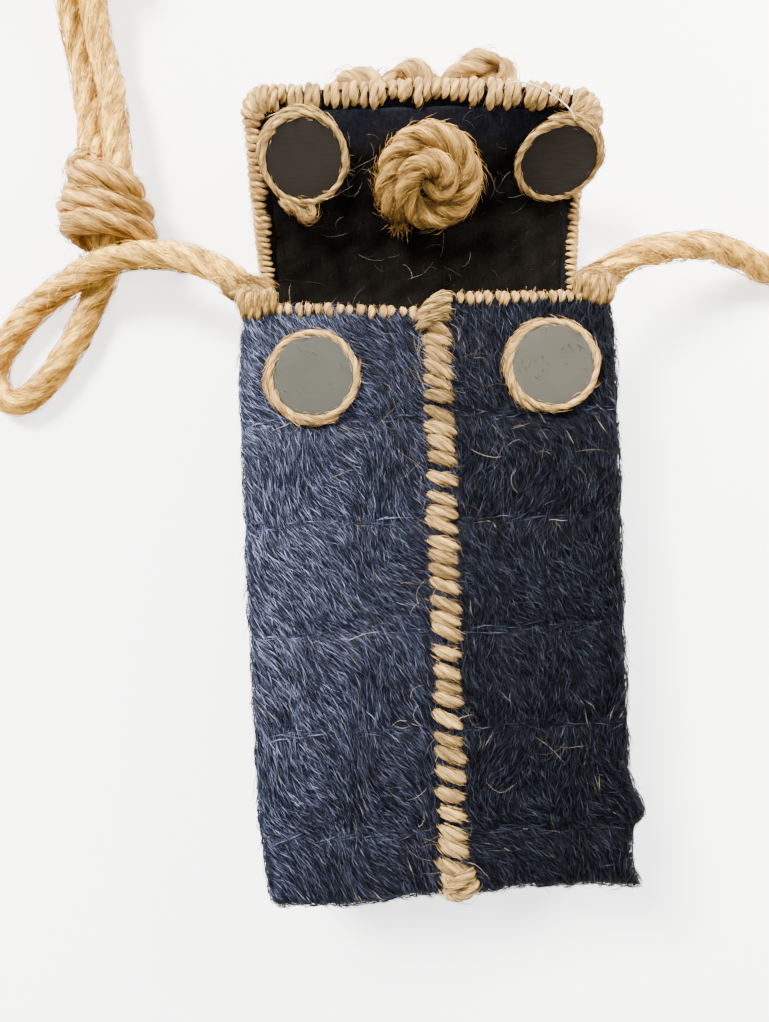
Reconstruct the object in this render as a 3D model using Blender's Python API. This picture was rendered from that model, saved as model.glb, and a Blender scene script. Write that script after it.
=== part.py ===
"""A small tall pouch of boards wound in jute, lying on its back, with an open flap and a rope strap.

Metres, +Z up. The origin is the centre of the back's resting face, +Y runs to the mouth and the flap.
"""

import math

import bmesh
import bpy
import numpy as np
from mathutils import Matrix, Vector

BODY_WIDTH = 0.122
BODY_HEIGHT = 0.192
BODY_DEPTH = 0.045
BOARD = 0.003
FLAP_LENGTH = 0.0845
FLAP_WIDTH = 0.116
FLAP_CORNER = 0.007
FLAP_SWAY = 0.003
HINGE_TAPER = 0.008
LINING = 0.001
LINING_IN_POUCH = 0.034
GAP = 0.0003
EDGE_ROUND = 0.0026
DENT_DEPTH = 0.0009
DENT_WIDTH = 0.004
BINDING_YARN = 0.0022
MOUTH_LIP = 0.004
FLAP_LIP = 0.005
BINDING_START = 0.016
SEAM_AT_MOUTH = 0.0037
SEAM_AT_BASE = 0.001
SEAM_WIDTH = 0.009
SEAM_RISE = 0.0032
SEAM_WRAPS = 33
DISC_DIAMETER = 0.0262
DISC_THICKNESS = 0.0022
DISC_EDGE = 0.0004
RING_YARN = 0.0023
DISC_BELOW_MOUTH = 0.0228
FRONT_DISC_LEFT = -0.0367
FRONT_DISC_RIGHT = 0.040
FLAP_DISC_FROM_EDGE = 0.0190
FLAP_DISC_LEFT = -0.0405
FLAP_DISC_RIGHT = 0.0468
COIL_DIAMETER = 0.0375
COIL_HEIGHT = 0.011
COIL_ACROSS = 0.002
COIL_FROM_EDGE = 0.0270
COIL_TURNS = 3
COIL_GROOVE = 0.86
FLOWER_RADIUS = 0.036
FLOWER_THICKNESS = 0.020
FLOWER_ACROSS = 0.0035
FLOWER_FROM_EDGE = 0.0250
CORD = 0.0095
KNOT_WIDTH = 0.036
KNOT_HEIGHT = 0.028
KNOT_LENGTH = 0.028
KNOT_WRAPS = 3
LOWER_KNOT = (-0.112, 0.1445)
UPPER_KNOT = (-0.119, 0.252)
STAY = 0.012
STAY_DROP = 0.0115
STAY_FROM_SIDE = 0.0045

HALF = BODY_WIDTH / 2
MOUTH_Y = BODY_HEIGHT / 2
BASE_Y = -BODY_HEIGHT / 2
FLAP_DISC_ALONG = FLAP_LENGTH - FLAP_DISC_FROM_EDGE
COIL_ALONG = FLAP_LENGTH - COIL_FROM_EDGE
FLOWER_ALONG = FLAP_LENGTH - FLOWER_FROM_EDGE
STAY_HEIGHT = BODY_DEPTH - STAY_DROP

# Half the pouch's width, as shares of HALF. At: the share of the height from the base.
SIDE_OUTLINE = (
    # at, left, right
    (0.00, 0.950, 0.985),
    (0.04, 0.970, 0.957),
    (0.09, 0.985, 0.970),
    (0.12, 0.993, 1.000),
    (0.16, 1.000, 0.975),
    (0.50, 1.000, 0.980),
    (0.80, 1.000, 0.995),
    (0.93, 0.990, 0.998),
    (1.00, 0.945, 0.965),
)

# Rise of the base's line, as a share of BODY_HEIGHT. At: the share of HALF across.
BASE_OUTLINE = (
    # at, rise
    (-1.00, -0.002),
    (-0.75, -0.009),
    (-0.40, -0.004),
    (-0.20, 0.001),
    (0.00, 0.002),
    (0.30, 0.007),
    (0.75, 0.009),
    (1.00, -0.002),
)

# Rise of each front panel's mouth, as a share of BODY_HEIGHT. At: the share of its width from the seam.
MOUTH_OUTLINE = (
    # at, left, right
    (0.00, -0.022, -0.008),
    (0.12, -0.020, 0.003),
    (0.40, -0.012, -0.001),
    (0.75, -0.004, -0.002),
    (1.00, 0.004, -0.007),
)

# Where the rows of laid yarn are caught down across the front: shares of the height from the base.
CAUGHT_ROWS = (0.105, 0.28, 0.445, 0.63, 0.805)

# The open flap's slope in degrees. At: the share of its length from the hinge.
FLAP_PROFILE = (
    # at, left, middle, right
    (0.00, 3, 3, 8),
    (0.12, 6, 6, 11),
    (0.25, 30, 21, 5),
    (0.45, 40, 34, 5),
    (0.53, 39, 36, 20),
    (0.60, 38, 38, 58),
    (0.80, 36, 38, 62),
    (1.00, 31, 36, 62),
)
FLAP_BEND_ACROSS = 1.6
# How the slope is summed along the flap, and the reach over which its facing is measured.
SLOPE_STEPS = 48
FACING_REACH = 0.0005
# The rows of the back board before the hinge end here, as a share of the height below the mouth.
LAST_BACK_ROW = -0.06
# The rows at the flap's rounded corners, as shares of the corner's radius before the free edge.
CORNER_ROWS = (1.0, 0.62, 0.3, 0.08, 0.0)

# The flower's petals, turned from +X towards the flap's free edge; reach is a share of FLOWER_RADIUS.
PETALS = (
    # turn in degrees, reach, thickness
    (116, 1.00, 0.90),
    (64, 1.05, 1.00),
    (0, 0.86, 0.90),
    (-58, 0.66, 0.80),
    (-122, 0.66, 0.80),
    (180, 0.88, 0.90),
)
PETAL_VALLEY = 0.62

# The flower's section, from the flap's side round to its under side.
FLOWER_SECTION = (
    # share of the reach, share of the thickness
    (0.10, 0.00),
    (0.50, 0.00),
    (0.72, 0.00),
    (0.92, 0.18),
    (1.00, 0.45),
    (0.90, 0.80),
    (0.62, 1.00),
    (0.30, 0.92),
    (0.10, 0.82),
)

# The strap's route as it lies: the left rope from the pouch to the lower knot.
STRAP_LEFT_ROUTE = (
    (-0.0620, 0.1085, 0.0335),
    (-0.0653, 0.1110, 0.0330),
    (-0.0750, 0.1171, 0.0300),
    (-0.0829, 0.1202, 0.0270),
    (-0.0903, 0.1225, 0.0240),
    (-0.0987, 0.1240, 0.0205),
    (-0.1069, 0.1243, 0.0175),
    (-0.1151, 0.1228, 0.0155),
    (-0.1240, 0.1204, 0.0118),
    (-0.1323, 0.1175, 0.0080),
    (-0.1399, 0.1137, 0.0055),
    (-0.1461, 0.1089, 0.0048),
    (-0.1525, 0.1020, 0.0048),
    (-0.1581, 0.0939, 0.0048),
    (-0.1606, 0.0860, 0.0048),
    (-0.1580, 0.0785, 0.0048),
    (-0.1512, 0.0762, 0.0048),
    (-0.1434, 0.0812, 0.0048),
    (-0.1357, 0.0899, 0.0048),
    (-0.1284, 0.1005, 0.0048),
    (-0.1225, 0.1120, 0.0048),
    (-0.1180, 0.1185, 0.0062),
    (-0.1138, 0.1262, 0.0118),
    (-0.1138, 0.1302, 0.0118),
)
# The two runs side by side between the knots.
STRAND_LEFT_ROUTE = (
    (-0.1171, 0.1588, 0.0123),
    (-0.1171, 0.1630, 0.0123),
    (-0.1184, 0.1758, 0.0085),
    (-0.1203, 0.1870, 0.0060),
    (-0.1229, 0.2063, 0.0050),
    (-0.1246, 0.2220, 0.0080),
    (-0.1247, 0.2335, 0.0127),
    (-0.1247, 0.2377, 0.0127),
)
STRAND_RIGHT_ROUTE = (
    (-0.1070, 0.1588, 0.0145),
    (-0.1070, 0.1630, 0.0145),
    (-0.1078, 0.1750, 0.0135),
    (-0.1095, 0.1900, 0.0115),
    (-0.1130, 0.2063, 0.0110),
    (-0.1146, 0.2220, 0.0125),
    (-0.1145, 0.2335, 0.0145),
    (-0.1145, 0.2377, 0.0145),
)
# The right rope from the pouch, round the plain way above the flap, to the upper knot.
STRAP_RIGHT_ROUTE = (
    (0.0631, 0.1068, 0.0336),
    (0.0660, 0.1085, 0.0334),
    (0.0751, 0.1127, 0.0310),
    (0.0871, 0.1156, 0.0270),
    (0.0997, 0.1176, 0.0220),
    (0.1154, 0.1168, 0.0140),
    (0.1306, 0.1125, 0.0070),
    (0.1430, 0.1105, 0.0048),
    (0.1550, 0.1140, 0.0048),
    (0.1645, 0.1235, 0.0048),
    (0.1700, 0.1380, 0.0048),
    (0.1720, 0.1620, 0.0048),
    (0.1720, 0.2000, 0.0048),
    (0.1700, 0.2450, 0.0048),
    (0.1610, 0.2950, 0.0048),
    (0.1370, 0.3450, 0.0048),
    (0.0980, 0.3820, 0.0048),
    (0.0480, 0.4040, 0.0048),
    (-0.0050, 0.4050, 0.0048),
    (-0.0540, 0.3830, 0.0048),
    (-0.0900, 0.3480, 0.0048),
    (-0.1110, 0.3060, 0.0052),
    (-0.1175, 0.2780, 0.0100),
    (-0.1190, 0.2702, 0.0138),
    (-0.1190, 0.2663, 0.0138),
)
LOOP_SPACING = 0.013
LONG_SPACING = 0.019

COLOURS = {
    # name: linear colour, roughness, metallic
    "navy_jute": ((0.030, 0.036, 0.062), 0.85, 0.0),
    "natural_jute": ((0.62, 0.42, 0.22), 0.80, 0.0),
    "black_lining": ((0.006, 0.006, 0.008), 0.90, 0.0),
    "grey_disc": ((0.21, 0.20, 0.17), 0.45, 0.6),
}


def clear_scene():
    for thing in list(bpy.data.objects):
        bpy.data.objects.remove(thing, do_unlink=True)


def material(name):
    """The named finish, made once and shared."""
    if name in bpy.data.materials:
        return bpy.data.materials[name]
    colour, roughness, metallic = COLOURS[name]
    made = bpy.data.materials.new(name)
    made.use_nodes = True
    shader = made.node_tree.nodes["Principled BSDF"]
    shader.inputs["Base Color"].default_value = (*colour, 1.0)
    shader.inputs["Roughness"].default_value = roughness
    shader.inputs["Metallic"].default_value = metallic
    return made


def read_table(table, at, column):
    """A table's column at a place between its rows."""
    return float(np.interp(at, [row[0] for row in table], [row[column] for row in table]))


def finish_mesh(name, shape, finish, smooth=40):
    """An object from a closed shape, with its faces turned out and its round parts shaded smooth."""
    bmesh.ops.recalc_face_normals(shape, faces=shape.faces)
    mesh = bpy.data.meshes.new(name)
    shape.to_mesh(mesh)
    shape.free()
    mesh.shade_smooth()
    mesh.set_sharp_from_angle(angle=math.radians(smooth))
    made = bpy.data.objects.new(name, mesh)
    made.data.materials.append(material(finish))
    bpy.context.scene.collection.objects.link(made)
    return made


def sheet(name, columns, rows, outer, inner, finish):
    """A board between two grids of points: outer and inner give a point for a column's and a row's value."""
    shape = bmesh.new()
    skins = []
    for side in (outer, inner):
        skins.append([[shape.verts.new(side(c, r)) for r in rows] for c in columns])
    last_column, last_row = len(columns) - 1, len(rows) - 1
    for grid in skins:
        for i in range(last_column):
            for j in range(last_row):
                shape.faces.new((grid[i][j], grid[i + 1][j], grid[i + 1][j + 1], grid[i][j + 1]))
    rim = [(i, 0) for i in range(last_column)]
    rim += [(last_column, j) for j in range(last_row)]
    rim += [(i, last_row) for i in range(last_column, 0, -1)]
    rim += [(0, j) for j in range(last_row, 0, -1)]
    over, under = skins
    for (i, j), (k, m) in zip(rim, rim[1:] + rim[:1]):
        shape.faces.new((over[i][j], over[k][m], under[k][m], under[i][j]))
    return finish_mesh(name, shape, finish)


def loft(name, rings, finish, smooth=40):
    """A closed solid through rings of points, with flat ends."""
    shape = bmesh.new()
    made = [[shape.verts.new(point) for point in ring] for ring in rings]
    count = len(rings[0])
    for first, second in zip(made, made[1:]):
        for k in range(count):
            n = (k + 1) % count
            shape.faces.new((first[k], first[n], second[n], second[k]))
    shape.faces.new(made[0])
    shape.faces.new(made[-1])
    return finish_mesh(name, shape, finish, smooth)


def half_width(side, y):
    """The pouch's half width at y: side is -1 at the left and 1 at the right."""
    at = (y - BASE_Y) / BODY_HEIGHT
    return HALF * read_table(SIDE_OUTLINE, min(max(at, 0.0), 1.0), 1 if side < 0 else 2)


def base_line(x):
    return BASE_Y + BODY_HEIGHT * read_table(BASE_OUTLINE, x / HALF, 1)


def mouth_line(side, share):
    return MOUTH_Y + BODY_HEIGHT * read_table(MOUTH_OUTLINE, share, 1 if side < 0 else 2)


def seam_line(y):
    at = (y - BASE_Y) / BODY_HEIGHT
    return SEAM_AT_BASE + (SEAM_AT_MOUTH - SEAM_AT_BASE) * at


def flap_half(side, s):
    """The flap board's half width at s along it: it tapers in from the pouch and rounds off at its corners."""
    start = half_width(side, MOUTH_Y)
    wide = FLAP_WIDTH / 2
    if s < HINGE_TAPER:
        return start + (wide - start) * max(s, 0.0) / HINGE_TAPER
    into_corner = s - (FLAP_LENGTH - FLAP_CORNER)
    if into_corner <= 0:
        return wide
    return wide - FLAP_CORNER + math.sqrt(max(FLAP_CORNER**2 - into_corner**2, 0.0))


def flap_slope(x, s):
    """The open flap's slope in radians at x across and s along it, from its three sections."""
    at = np.clip(s / FLAP_LENGTH, 0.0, 1.0)
    shares, left, middle, right = zip(*FLAP_PROFILE)
    centre = np.interp(at, shares, middle)
    edge = np.interp(at, shares, left if x < 0 else right)
    across = min(abs(x) / (FLAP_WIDTH / 2), 1.1) ** FLAP_BEND_ACROSS
    return np.radians(centre + (edge - centre) * across)


def flap_under(x, s):
    """The point of the flap's under face at x across and s along it."""
    if s <= 0:
        return Vector((x, MOUTH_Y + s, 0.0))
    slopes = flap_slope(x, (np.arange(SLOPE_STEPS) + 0.5) / SLOPE_STEPS * s)
    sway = FLAP_SWAY * s / FLAP_LENGTH
    return Vector((x + sway, MOUTH_Y + s * float(np.cos(slopes).mean()), s * float(np.sin(slopes).mean())))


def flap_normal(x, s):
    if s <= 0:
        return Vector((0.0, 0.0, 1.0))
    across = flap_under(x + FACING_REACH, s) - flap_under(x - FACING_REACH, s)
    along = flap_under(x, s + FACING_REACH) - flap_under(x, max(s - FACING_REACH, 0.0))
    return across.cross(along).normalized()


def flap_point(x, s, h):
    """A point h above the flap's under face, counted along its normal."""
    return flap_under(x, s) + flap_normal(x, s) * h


def spread(first, last, count):
    return [first + (last - first) * k / (count - 1) for k in range(count)]


def back_and_flap():
    """The back board, which runs on over the hinge as the flap."""

    def place(column, row, h):
        side = -1 if column < 0 else 1
        if row < 0:
            y = base_line(column * HALF) * -row + MOUTH_Y * (1 + row)
            return Vector((column * half_width(side, y), y, h))
        return flap_point(column * flap_half(side, row), row, h)

    corner = [FLAP_LENGTH - FLAP_CORNER * share for share in CORNER_ROWS]
    rows = spread(-1.0, LAST_BACK_ROW, 8) + spread(0.0, corner[0], 17)[:-1] + corner
    sheet(
        "back_and_flap",
        spread(-1.0, 1.0, 13),
        rows,
        lambda c, r: place(c, r, 0.0),
        lambda c, r: place(c, r, BOARD),
        "navy_jute",
    )


def side_board(name, side):
    """A side board: it stands on the back and carries the front, and follows their outline."""

    def place(z, at, inset):
        y = base_line(side * HALF) + at * (mouth_line(side, 1.0) - base_line(side * HALF))
        return Vector((side * (half_width(side, y) - inset), y, z))

    heights = spread(BOARD + GAP, BODY_DEPTH - BOARD - GAP, 4)
    rows = [row[0] for row in SIDE_OUTLINE]
    sheet(name, heights, rows, lambda z, a: place(z, a, 0.0), lambda z, a: place(z, a, BOARD), "navy_jute")


def base_board():
    """The base board, between the two sides."""

    def place(z, at, inset):
        side = -1 if at < 0 else 1
        foot = base_line(side * HALF)
        narrowest = min(half_width(side, foot), half_width(side, foot + 2 * BOARD))
        x = at * (narrowest - BOARD - 2 * GAP)
        return Vector((x, base_line(x) + inset, z))

    heights = spread(BOARD + GAP, BODY_DEPTH - BOARD - GAP, 3)
    sheet(
        "base_board",
        heights,
        spread(-1.0, 1.0, 9),
        lambda z, a: place(z, a, 0.0),
        lambda z, a: place(z, a, BOARD),
        "navy_jute",
    )


def rolled(distance):
    """How far a rounded edge has dropped at this distance from it."""
    if distance >= EDGE_ROUND:
        return 0.0
    return EDGE_ROUND - math.sqrt(EDGE_ROUND**2 - (EDGE_ROUND - distance) ** 2)


def front_panel(name, side):
    """One half of the front, of yarn laid in rows and caught down, so a shallow dent runs across at each row."""
    caught = [BASE_Y + BODY_HEIGHT * at for at in CAUGHT_ROWS]

    def place(across, at, top):
        foot = base_line(side * across * HALF)
        y = foot + at * (mouth_line(side, across) - foot)
        seam = seam_line(y) + side * GAP / 2
        edge = side * half_width(side, y)
        x = seam + across * (edge - seam)
        if not top:
            return Vector((x, y, BODY_DEPTH - BOARD))
        dent = sum(DENT_DEPTH * math.exp(-(((y - row) / DENT_WIDTH) ** 2)) for row in caught)
        drop = max(rolled(abs(edge - x)), rolled(y - foot))
        return Vector((x, y, BODY_DEPTH - max(drop, dent)))

    edge_steps = [1 - share * EDGE_ROUND / HALF for share in (1.0, 0.5, 0.15, 0.0)]
    columns = spread(0.0, edge_steps[0], 6)[:-1] + edge_steps
    foot_steps = [share * EDGE_ROUND / BODY_HEIGHT for share in (0.0, 0.15, 0.5, 1.0)]
    dents = [at + k * DENT_WIDTH / BODY_HEIGHT for at in CAUGHT_ROWS for k in (-1.6, -0.6, 0.0, 0.6, 1.6)]
    rows = sorted(foot_steps + dents + [0.06, 0.2, 0.36, 0.54, 0.72, 0.9, 0.95, 1.0])
    sheet(name, columns, rows, lambda c, r: place(c, r, True), lambda c, r: place(c, r, False), "navy_jute")


def front_seam():
    """The thick overcast seam that joins the two front panels, a ridge of slanting wraps."""
    floor = BODY_DEPTH + GAP
    foot, top = base_line(0.0) + GAP, MOUTH_Y + 0.5 * BINDING_YARN
    rings = []
    stations = 2 * SEAM_WRAPS + 1
    for k in range(stations):
        y = foot + (top - foot) * k / (stations - 1)
        swell = 1.0 if k % 2 else 0.74
        if k < 5:
            swell *= 1.2
        half, rise = SEAM_WIDTH / 2 * swell, SEAM_RISE * swell
        x = seam_line(y)
        arc = [(half * math.cos(math.radians(a)), rise * (0.25 + 0.75 * math.sin(math.radians(a)))) for a in (0, 55, 125, 180)]
        section = [(half * 0.94, 0.0)] + arc + [(-half * 0.94, 0.0)]
        rings.append([Vector((x + dx, y, floor + dz)) for dx, dz in section])
    loft("front_seam", rings, "natural_jute")


def binding_section(lip):
    """A binding's section round a board's edge: (n, e) is n from the board's middle plane, e beyond its edge."""
    near, far = BOARD / 2 + GAP, BOARD / 2 + GAP + BINDING_YARN
    crown = GAP + BINDING_YARN
    outside = [(far, -lip), (far, -0.2 * BINDING_YARN), (0.55 * far, 0.85 * crown), (0.0, crown)]
    mirrored = [(-n, e) for n, e in reversed(outside[:-1])]
    return outside + mirrored + [(-near, -lip), (-near, GAP), (near, GAP), (near, -lip)]


def mouth_binding(name, side):
    """The overcast edge of one half of the mouth: up the side board, round the corner and in to the seam."""
    section = binding_section(MOUTH_LIP)
    middle = BODY_DEPTH - BOARD / 2
    rings = []
    for z in spread(BOARD + BINDING_YARN + 2 * GAP, middle - 0.006, 4):
        y = mouth_line(side, 1.0)
        rings.append([Vector((side * (half_width(side, y + e) - BOARD / 2 + n), y + e, z)) for n, e in section])
    y = mouth_line(side, 1.0)
    rings.append(
        [Vector((side * (half_width(side, y + e) - BOARD / 2 + n), y + e, middle + n)) for n, e in section]
    )
    for share in (0.93, 0.75, 0.57, 0.4, 0.26, 0.12):
        y = mouth_line(side, share)
        seam = seam_line(y)
        x = seam + share * (side * half_width(side, y) - seam)
        rings.append([Vector((x, y + e, middle + n)) for n, e in section])
    loft(name, rings, "natural_jute")


def flap_edge_path():
    """The flap's edge from the hinge's left to its right: (x, s) on the edge, then the way out from it."""
    wide, straight = FLAP_WIDTH / 2, FLAP_LENGTH - FLAP_CORNER
    path = [(-wide, s, -1.0, 0.0) for s in spread(BINDING_START, straight, 13)]
    for turn in (22.5, 45.0, 67.5, 90.0):
        out = (-math.cos(math.radians(turn)), math.sin(math.radians(turn)))
        path.append((-wide + FLAP_CORNER * (1 + out[0]), straight + FLAP_CORNER * out[1], *out))
    middle = [(x, FLAP_LENGTH, 0.0, 1.0) for x in spread(-wide + FLAP_CORNER, wide - FLAP_CORNER, 11)[1:-1]]
    return path + middle + [(-x, s, -out_x, out_s) for x, s, out_x, out_s in reversed(path)]


def flap_binding():
    """The overcast edge round the flap's three free sides."""
    section = binding_section(FLAP_LIP)
    rings = []
    for x, s, out_x, out_s in flap_edge_path():
        rings.append([flap_point(x + out_x * e, s + out_s * e, BOARD / 2 + n) for n, e in section])
    loft("flap_binding", rings, "natural_jute")


def flap_lining():
    """The dark lining on the flap's inner face, which goes on into the pouch."""
    half = FLAP_WIDTH / 2 - FLAP_LIP - 2 * GAP
    low = BOARD + GAP
    rows = [-LINING_IN_POUCH] + spread(0.0, FLAP_LENGTH - FLAP_LIP - 2 * GAP, 16)
    sheet(
        "flap_lining",
        spread(-half, half, 11),
        rows,
        lambda x, s: flap_point(x, s, low + LINING),
        lambda x, s: flap_point(x, s, low),
        "black_lining",
    )


def cover_height(x, s):
    """How high the flap's cover stands over its under face: the lining, or the binding near an edge."""
    in_from_edge = min(FLAP_WIDTH / 2 - abs(x), FLAP_LENGTH - s)
    if in_from_edge < FLAP_LIP + GAP:
        return BOARD + GAP + BINDING_YARN
    return BOARD + GAP + LINING


def seat(x, s, radius):
    """The frame of a flat round piece that rests on the highest places under it on the flap."""

    def cover(dx, ds):
        return flap_point(x + dx, s + ds, cover_height(x + dx, s + ds))

    across = (cover(radius, 0.0) - cover(-radius, 0.0)).normalized()
    along = (cover(0.0, radius) - cover(0.0, -radius)).normalized()
    normal = across.cross(along).normalized()
    along = normal.cross(across)
    centre = cover(0.0, 0.0)
    turns = [k * math.tau / 16 for k in range(16)]
    under = [cover(r * radius * math.cos(t), r * radius * math.sin(t)) for t in turns for r in (0.35, 0.7, 1.0)]
    lift = max((point - centre).dot(normal) for point in under)
    centre = centre + normal * (max(lift, 0.0) + GAP)
    return Matrix.Translation(centre) @ Matrix((across, along, normal)).transposed().to_4x4()


def disc_and_ring(where, frame):
    """A magnet disc and the ring of yarn that holds its rim, set on a frame whose +Z is the way out."""
    bpy.ops.mesh.primitive_cylinder_add(vertices=28, radius=DISC_DIAMETER / 2, depth=DISC_THICKNESS)
    disc = bpy.context.object
    disc.name = f"disc_{where}"
    edge = disc.modifiers.new("edge", "BEVEL")
    edge.width = DISC_EDGE
    edge.segments = 1
    edge.limit_method = "ANGLE"
    disc.data.materials.append(material("grey_disc"))
    disc.data.shade_smooth()
    disc.data.set_sharp_from_angle(angle=math.radians(40))
    disc.matrix_world = frame @ Matrix.Translation((0, 0, DISC_THICKNESS / 2))
    bpy.ops.mesh.primitive_torus_add(
        major_radius=DISC_DIAMETER / 2 + GAP + RING_YARN / 2,
        minor_radius=RING_YARN / 2,
        major_segments=28,
        minor_segments=6,
    )
    ring = bpy.context.object
    ring.name = f"ring_{where}"
    ring.data.materials.append(material("natural_jute"))
    ring.data.shade_smooth()
    ring.matrix_world = frame @ Matrix.Translation((0, 0, RING_YARN / 2))


def flap_coil():
    """The spiral of cord at the middle of the flap's inner face, a low dome with a groove for each turn."""
    rings = []
    radius = COIL_DIAMETER / 2
    foot = BOARD + 2 * GAP + LINING
    profile = [(0.08, 0.0), (0.6, 0.0), (0.95, 0.0)]
    grooves = 2 * COIL_TURNS
    for k in range(grooves + 1):
        share = 1.0 - k / (grooves + 1)
        height = math.sqrt(1 - (share * 0.92) ** 2) * (1.0 if k % 2 else COIL_GROOVE)
        profile.append((share, height))
    profile.append((0.06, 0.95))
    for share, height in profile:
        ring = []
        for k in range(20):
            turn = math.tau * k / 20
            x = COIL_ACROSS + radius * share * math.cos(turn)
            s = COIL_ALONG + radius * share * math.sin(turn)
            ring.append(flap_point(x, s, foot + COIL_HEIGHT * height))
        rings.append(ring)
    loft("flap_coil", rings, "natural_jute")


def petal_shares(turn):
    """The flower's reach and thickness at a turn: the nearest petal's, drawn in between petals."""
    best = (0.0, 0.0, 1.0)
    for centre, reach, thickness in PETALS:
        away = (turn - centre + 180) % 360 - 180
        lobe = math.cos(math.radians(min(abs(away) * 1.5, 90)))
        share = PETAL_VALLEY + (1 - PETAL_VALLEY) * lobe
        if reach * share > best[0]:
            best = (reach * share, lobe, thickness)
    return best


def flap_flower():
    """The rope flower on the flap's outer face, which props the open flap up from what the pouch lies on."""
    clear = GAP + BINDING_YARN + GAP
    count = 36
    rings = []
    for out, deep in FLOWER_SECTION:
        ring = []
        for k in range(count):
            turn = 360 * k / count
            reach, lobe, thickness = petal_shares(turn)
            distance = FLOWER_RADIUS * reach * out
            x = FLOWER_ACROSS + distance * math.cos(math.radians(turn))
            s = FLOWER_ALONG + distance * math.sin(math.radians(turn))
            back = GAP if distance < 0.4 * FLOWER_RADIUS else clear
            h = -back - FLOWER_THICKNESS * thickness * deep * (0.8 + 0.2 * lobe)
            point = flap_point(x, s, h)
            point.z = max(point.z, GAP + 0.002 * (1 - deep))
            ring.append(point)
        rings.append(ring)
    loft("flap_flower", rings, "natural_jute")


def rope_stay(name, side):
    """The lump at a mouth corner where the rope's end is sewn down."""
    bpy.ops.mesh.primitive_uv_sphere_add(segments=12, ring_count=8, radius=STAY / 2)
    stay = bpy.context.object
    stay.name = name
    y = mouth_line(side, 1.0) + 2 * GAP + BINDING_YARN + STAY / 2
    stay.location = (side * (half_width(side, MOUTH_Y) - STAY_FROM_SIDE + BOARD), y, STAY_HEIGHT)
    stay.data.materials.append(material("natural_jute"))
    stay.data.shade_smooth()


def smooth_route(route, spacing):
    """Points along a smooth curve through the route, evenly spaced, with both of its straight ends kept."""
    points = [Vector(point) for point in route]
    padded = [points[0] * 2 - points[1], *points, points[-1] * 2 - points[-2]]
    fine = []
    steps = 12
    for a, b, c, d in zip(padded, padded[1:], padded[2:], padded[3:]):
        for step in range(steps):
            t = step / steps
            fine.append(
                0.5 * (2 * b + (c - a) * t + (2 * a - 5 * b + 4 * c - d) * t**2 + (3 * b - a - 3 * c + d) * t**3)
            )
    fine = fine[steps:-steps] + [points[-2]]
    lengths = np.cumsum([0.0] + [(b - a).length for a, b in zip(fine, fine[1:])])
    count = max(int(round(lengths[-1] / spacing)), 2)
    kept = []
    for k in range(count + 1):
        at = lengths[-1] * k / count
        kept.append([float(np.interp(at, lengths, [point[axis] for point in fine])) for axis in range(3)])
    return [tuple(points[0]), *kept, tuple(points[-1])]


def rope(name, route, spacing):
    """A run of the strap's rope."""
    curve = bpy.data.curves.new(name, "CURVE")
    curve.dimensions = "3D"
    curve.bevel_depth = CORD / 2
    curve.bevel_resolution = 2
    curve.use_fill_caps = True
    path = smooth_route(route, spacing)
    spline = curve.splines.new("POLY")
    spline.points.add(len(path) - 1)
    for point, place in zip(spline.points, path):
        point.co = (*place, 1.0)
    made = bpy.data.objects.new(name, curve)
    made.data.materials.append(material("natural_jute"))
    bpy.context.scene.collection.objects.link(made)


def sliding_knot(name, centre):
    """A barrel of rope wraps round the two runs of the strap: it slides along them to set the length."""
    stations = 4 * KNOT_WRAPS
    rings = []
    for k in range(stations + 1):
        at = k / stations
        swell = 0.90 + 0.10 * math.sin(math.pi * (KNOT_WRAPS * at % 1.0))
        end = math.sin(math.pi * (0.16 + 0.68 * at)) ** 0.5
        ring = []
        for step in range(16):
            turn = math.tau * step / 16
            x = centre[0] + KNOT_WIDTH / 2 * swell * end * math.cos(turn)
            z = KNOT_HEIGHT / 2 + GAP / 2 + KNOT_HEIGHT / 2 * swell * end * math.sin(turn)
            ring.append(Vector((x, centre[1] + (at - 0.5) * KNOT_LENGTH, z)))
        rings.append(ring)
    loft(name, rings, "natural_jute")


def build():
    clear_scene()
    back_and_flap()
    side_board("side_left", -1)
    side_board("side_right", 1)
    base_board()
    front_panel("front_left", -1)
    front_panel("front_right", 1)
    front_seam()
    mouth_binding("mouth_binding_left", -1)
    mouth_binding("mouth_binding_right", 1)
    flap_binding()
    flap_lining()
    for where, x in (("front_left", FRONT_DISC_LEFT), ("front_right", FRONT_DISC_RIGHT)):
        frame = Matrix.Translation((x, MOUTH_Y - DISC_BELOW_MOUTH, BODY_DEPTH + GAP))
        disc_and_ring(where, frame)
    rim = DISC_DIAMETER / 2 + GAP + RING_YARN
    for where, x in (("flap_left", FLAP_DISC_LEFT), ("flap_right", FLAP_DISC_RIGHT)):
        disc_and_ring(where, seat(x, FLAP_DISC_ALONG, rim))
    flap_coil()
    flap_flower()
    rope_stay("rope_stay_left", -1)
    rope_stay("rope_stay_right", 1)
    rope("strap_left", STRAP_LEFT_ROUTE, LOOP_SPACING)
    rope("strand_left", STRAND_LEFT_ROUTE, LONG_SPACING)
    rope("strand_right", STRAND_RIGHT_ROUTE, LONG_SPACING)
    rope("strap_right", STRAP_RIGHT_ROUTE, LONG_SPACING)
    sliding_knot("strap_knot_lower", LOWER_KNOT)
    sliding_knot("strap_knot_upper", UPPER_KNOT)


build()
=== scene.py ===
import math

import bpy
import numpy as np
from mathutils import Matrix, Vector
from mathutils.bvhtree import BVHTree


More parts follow.
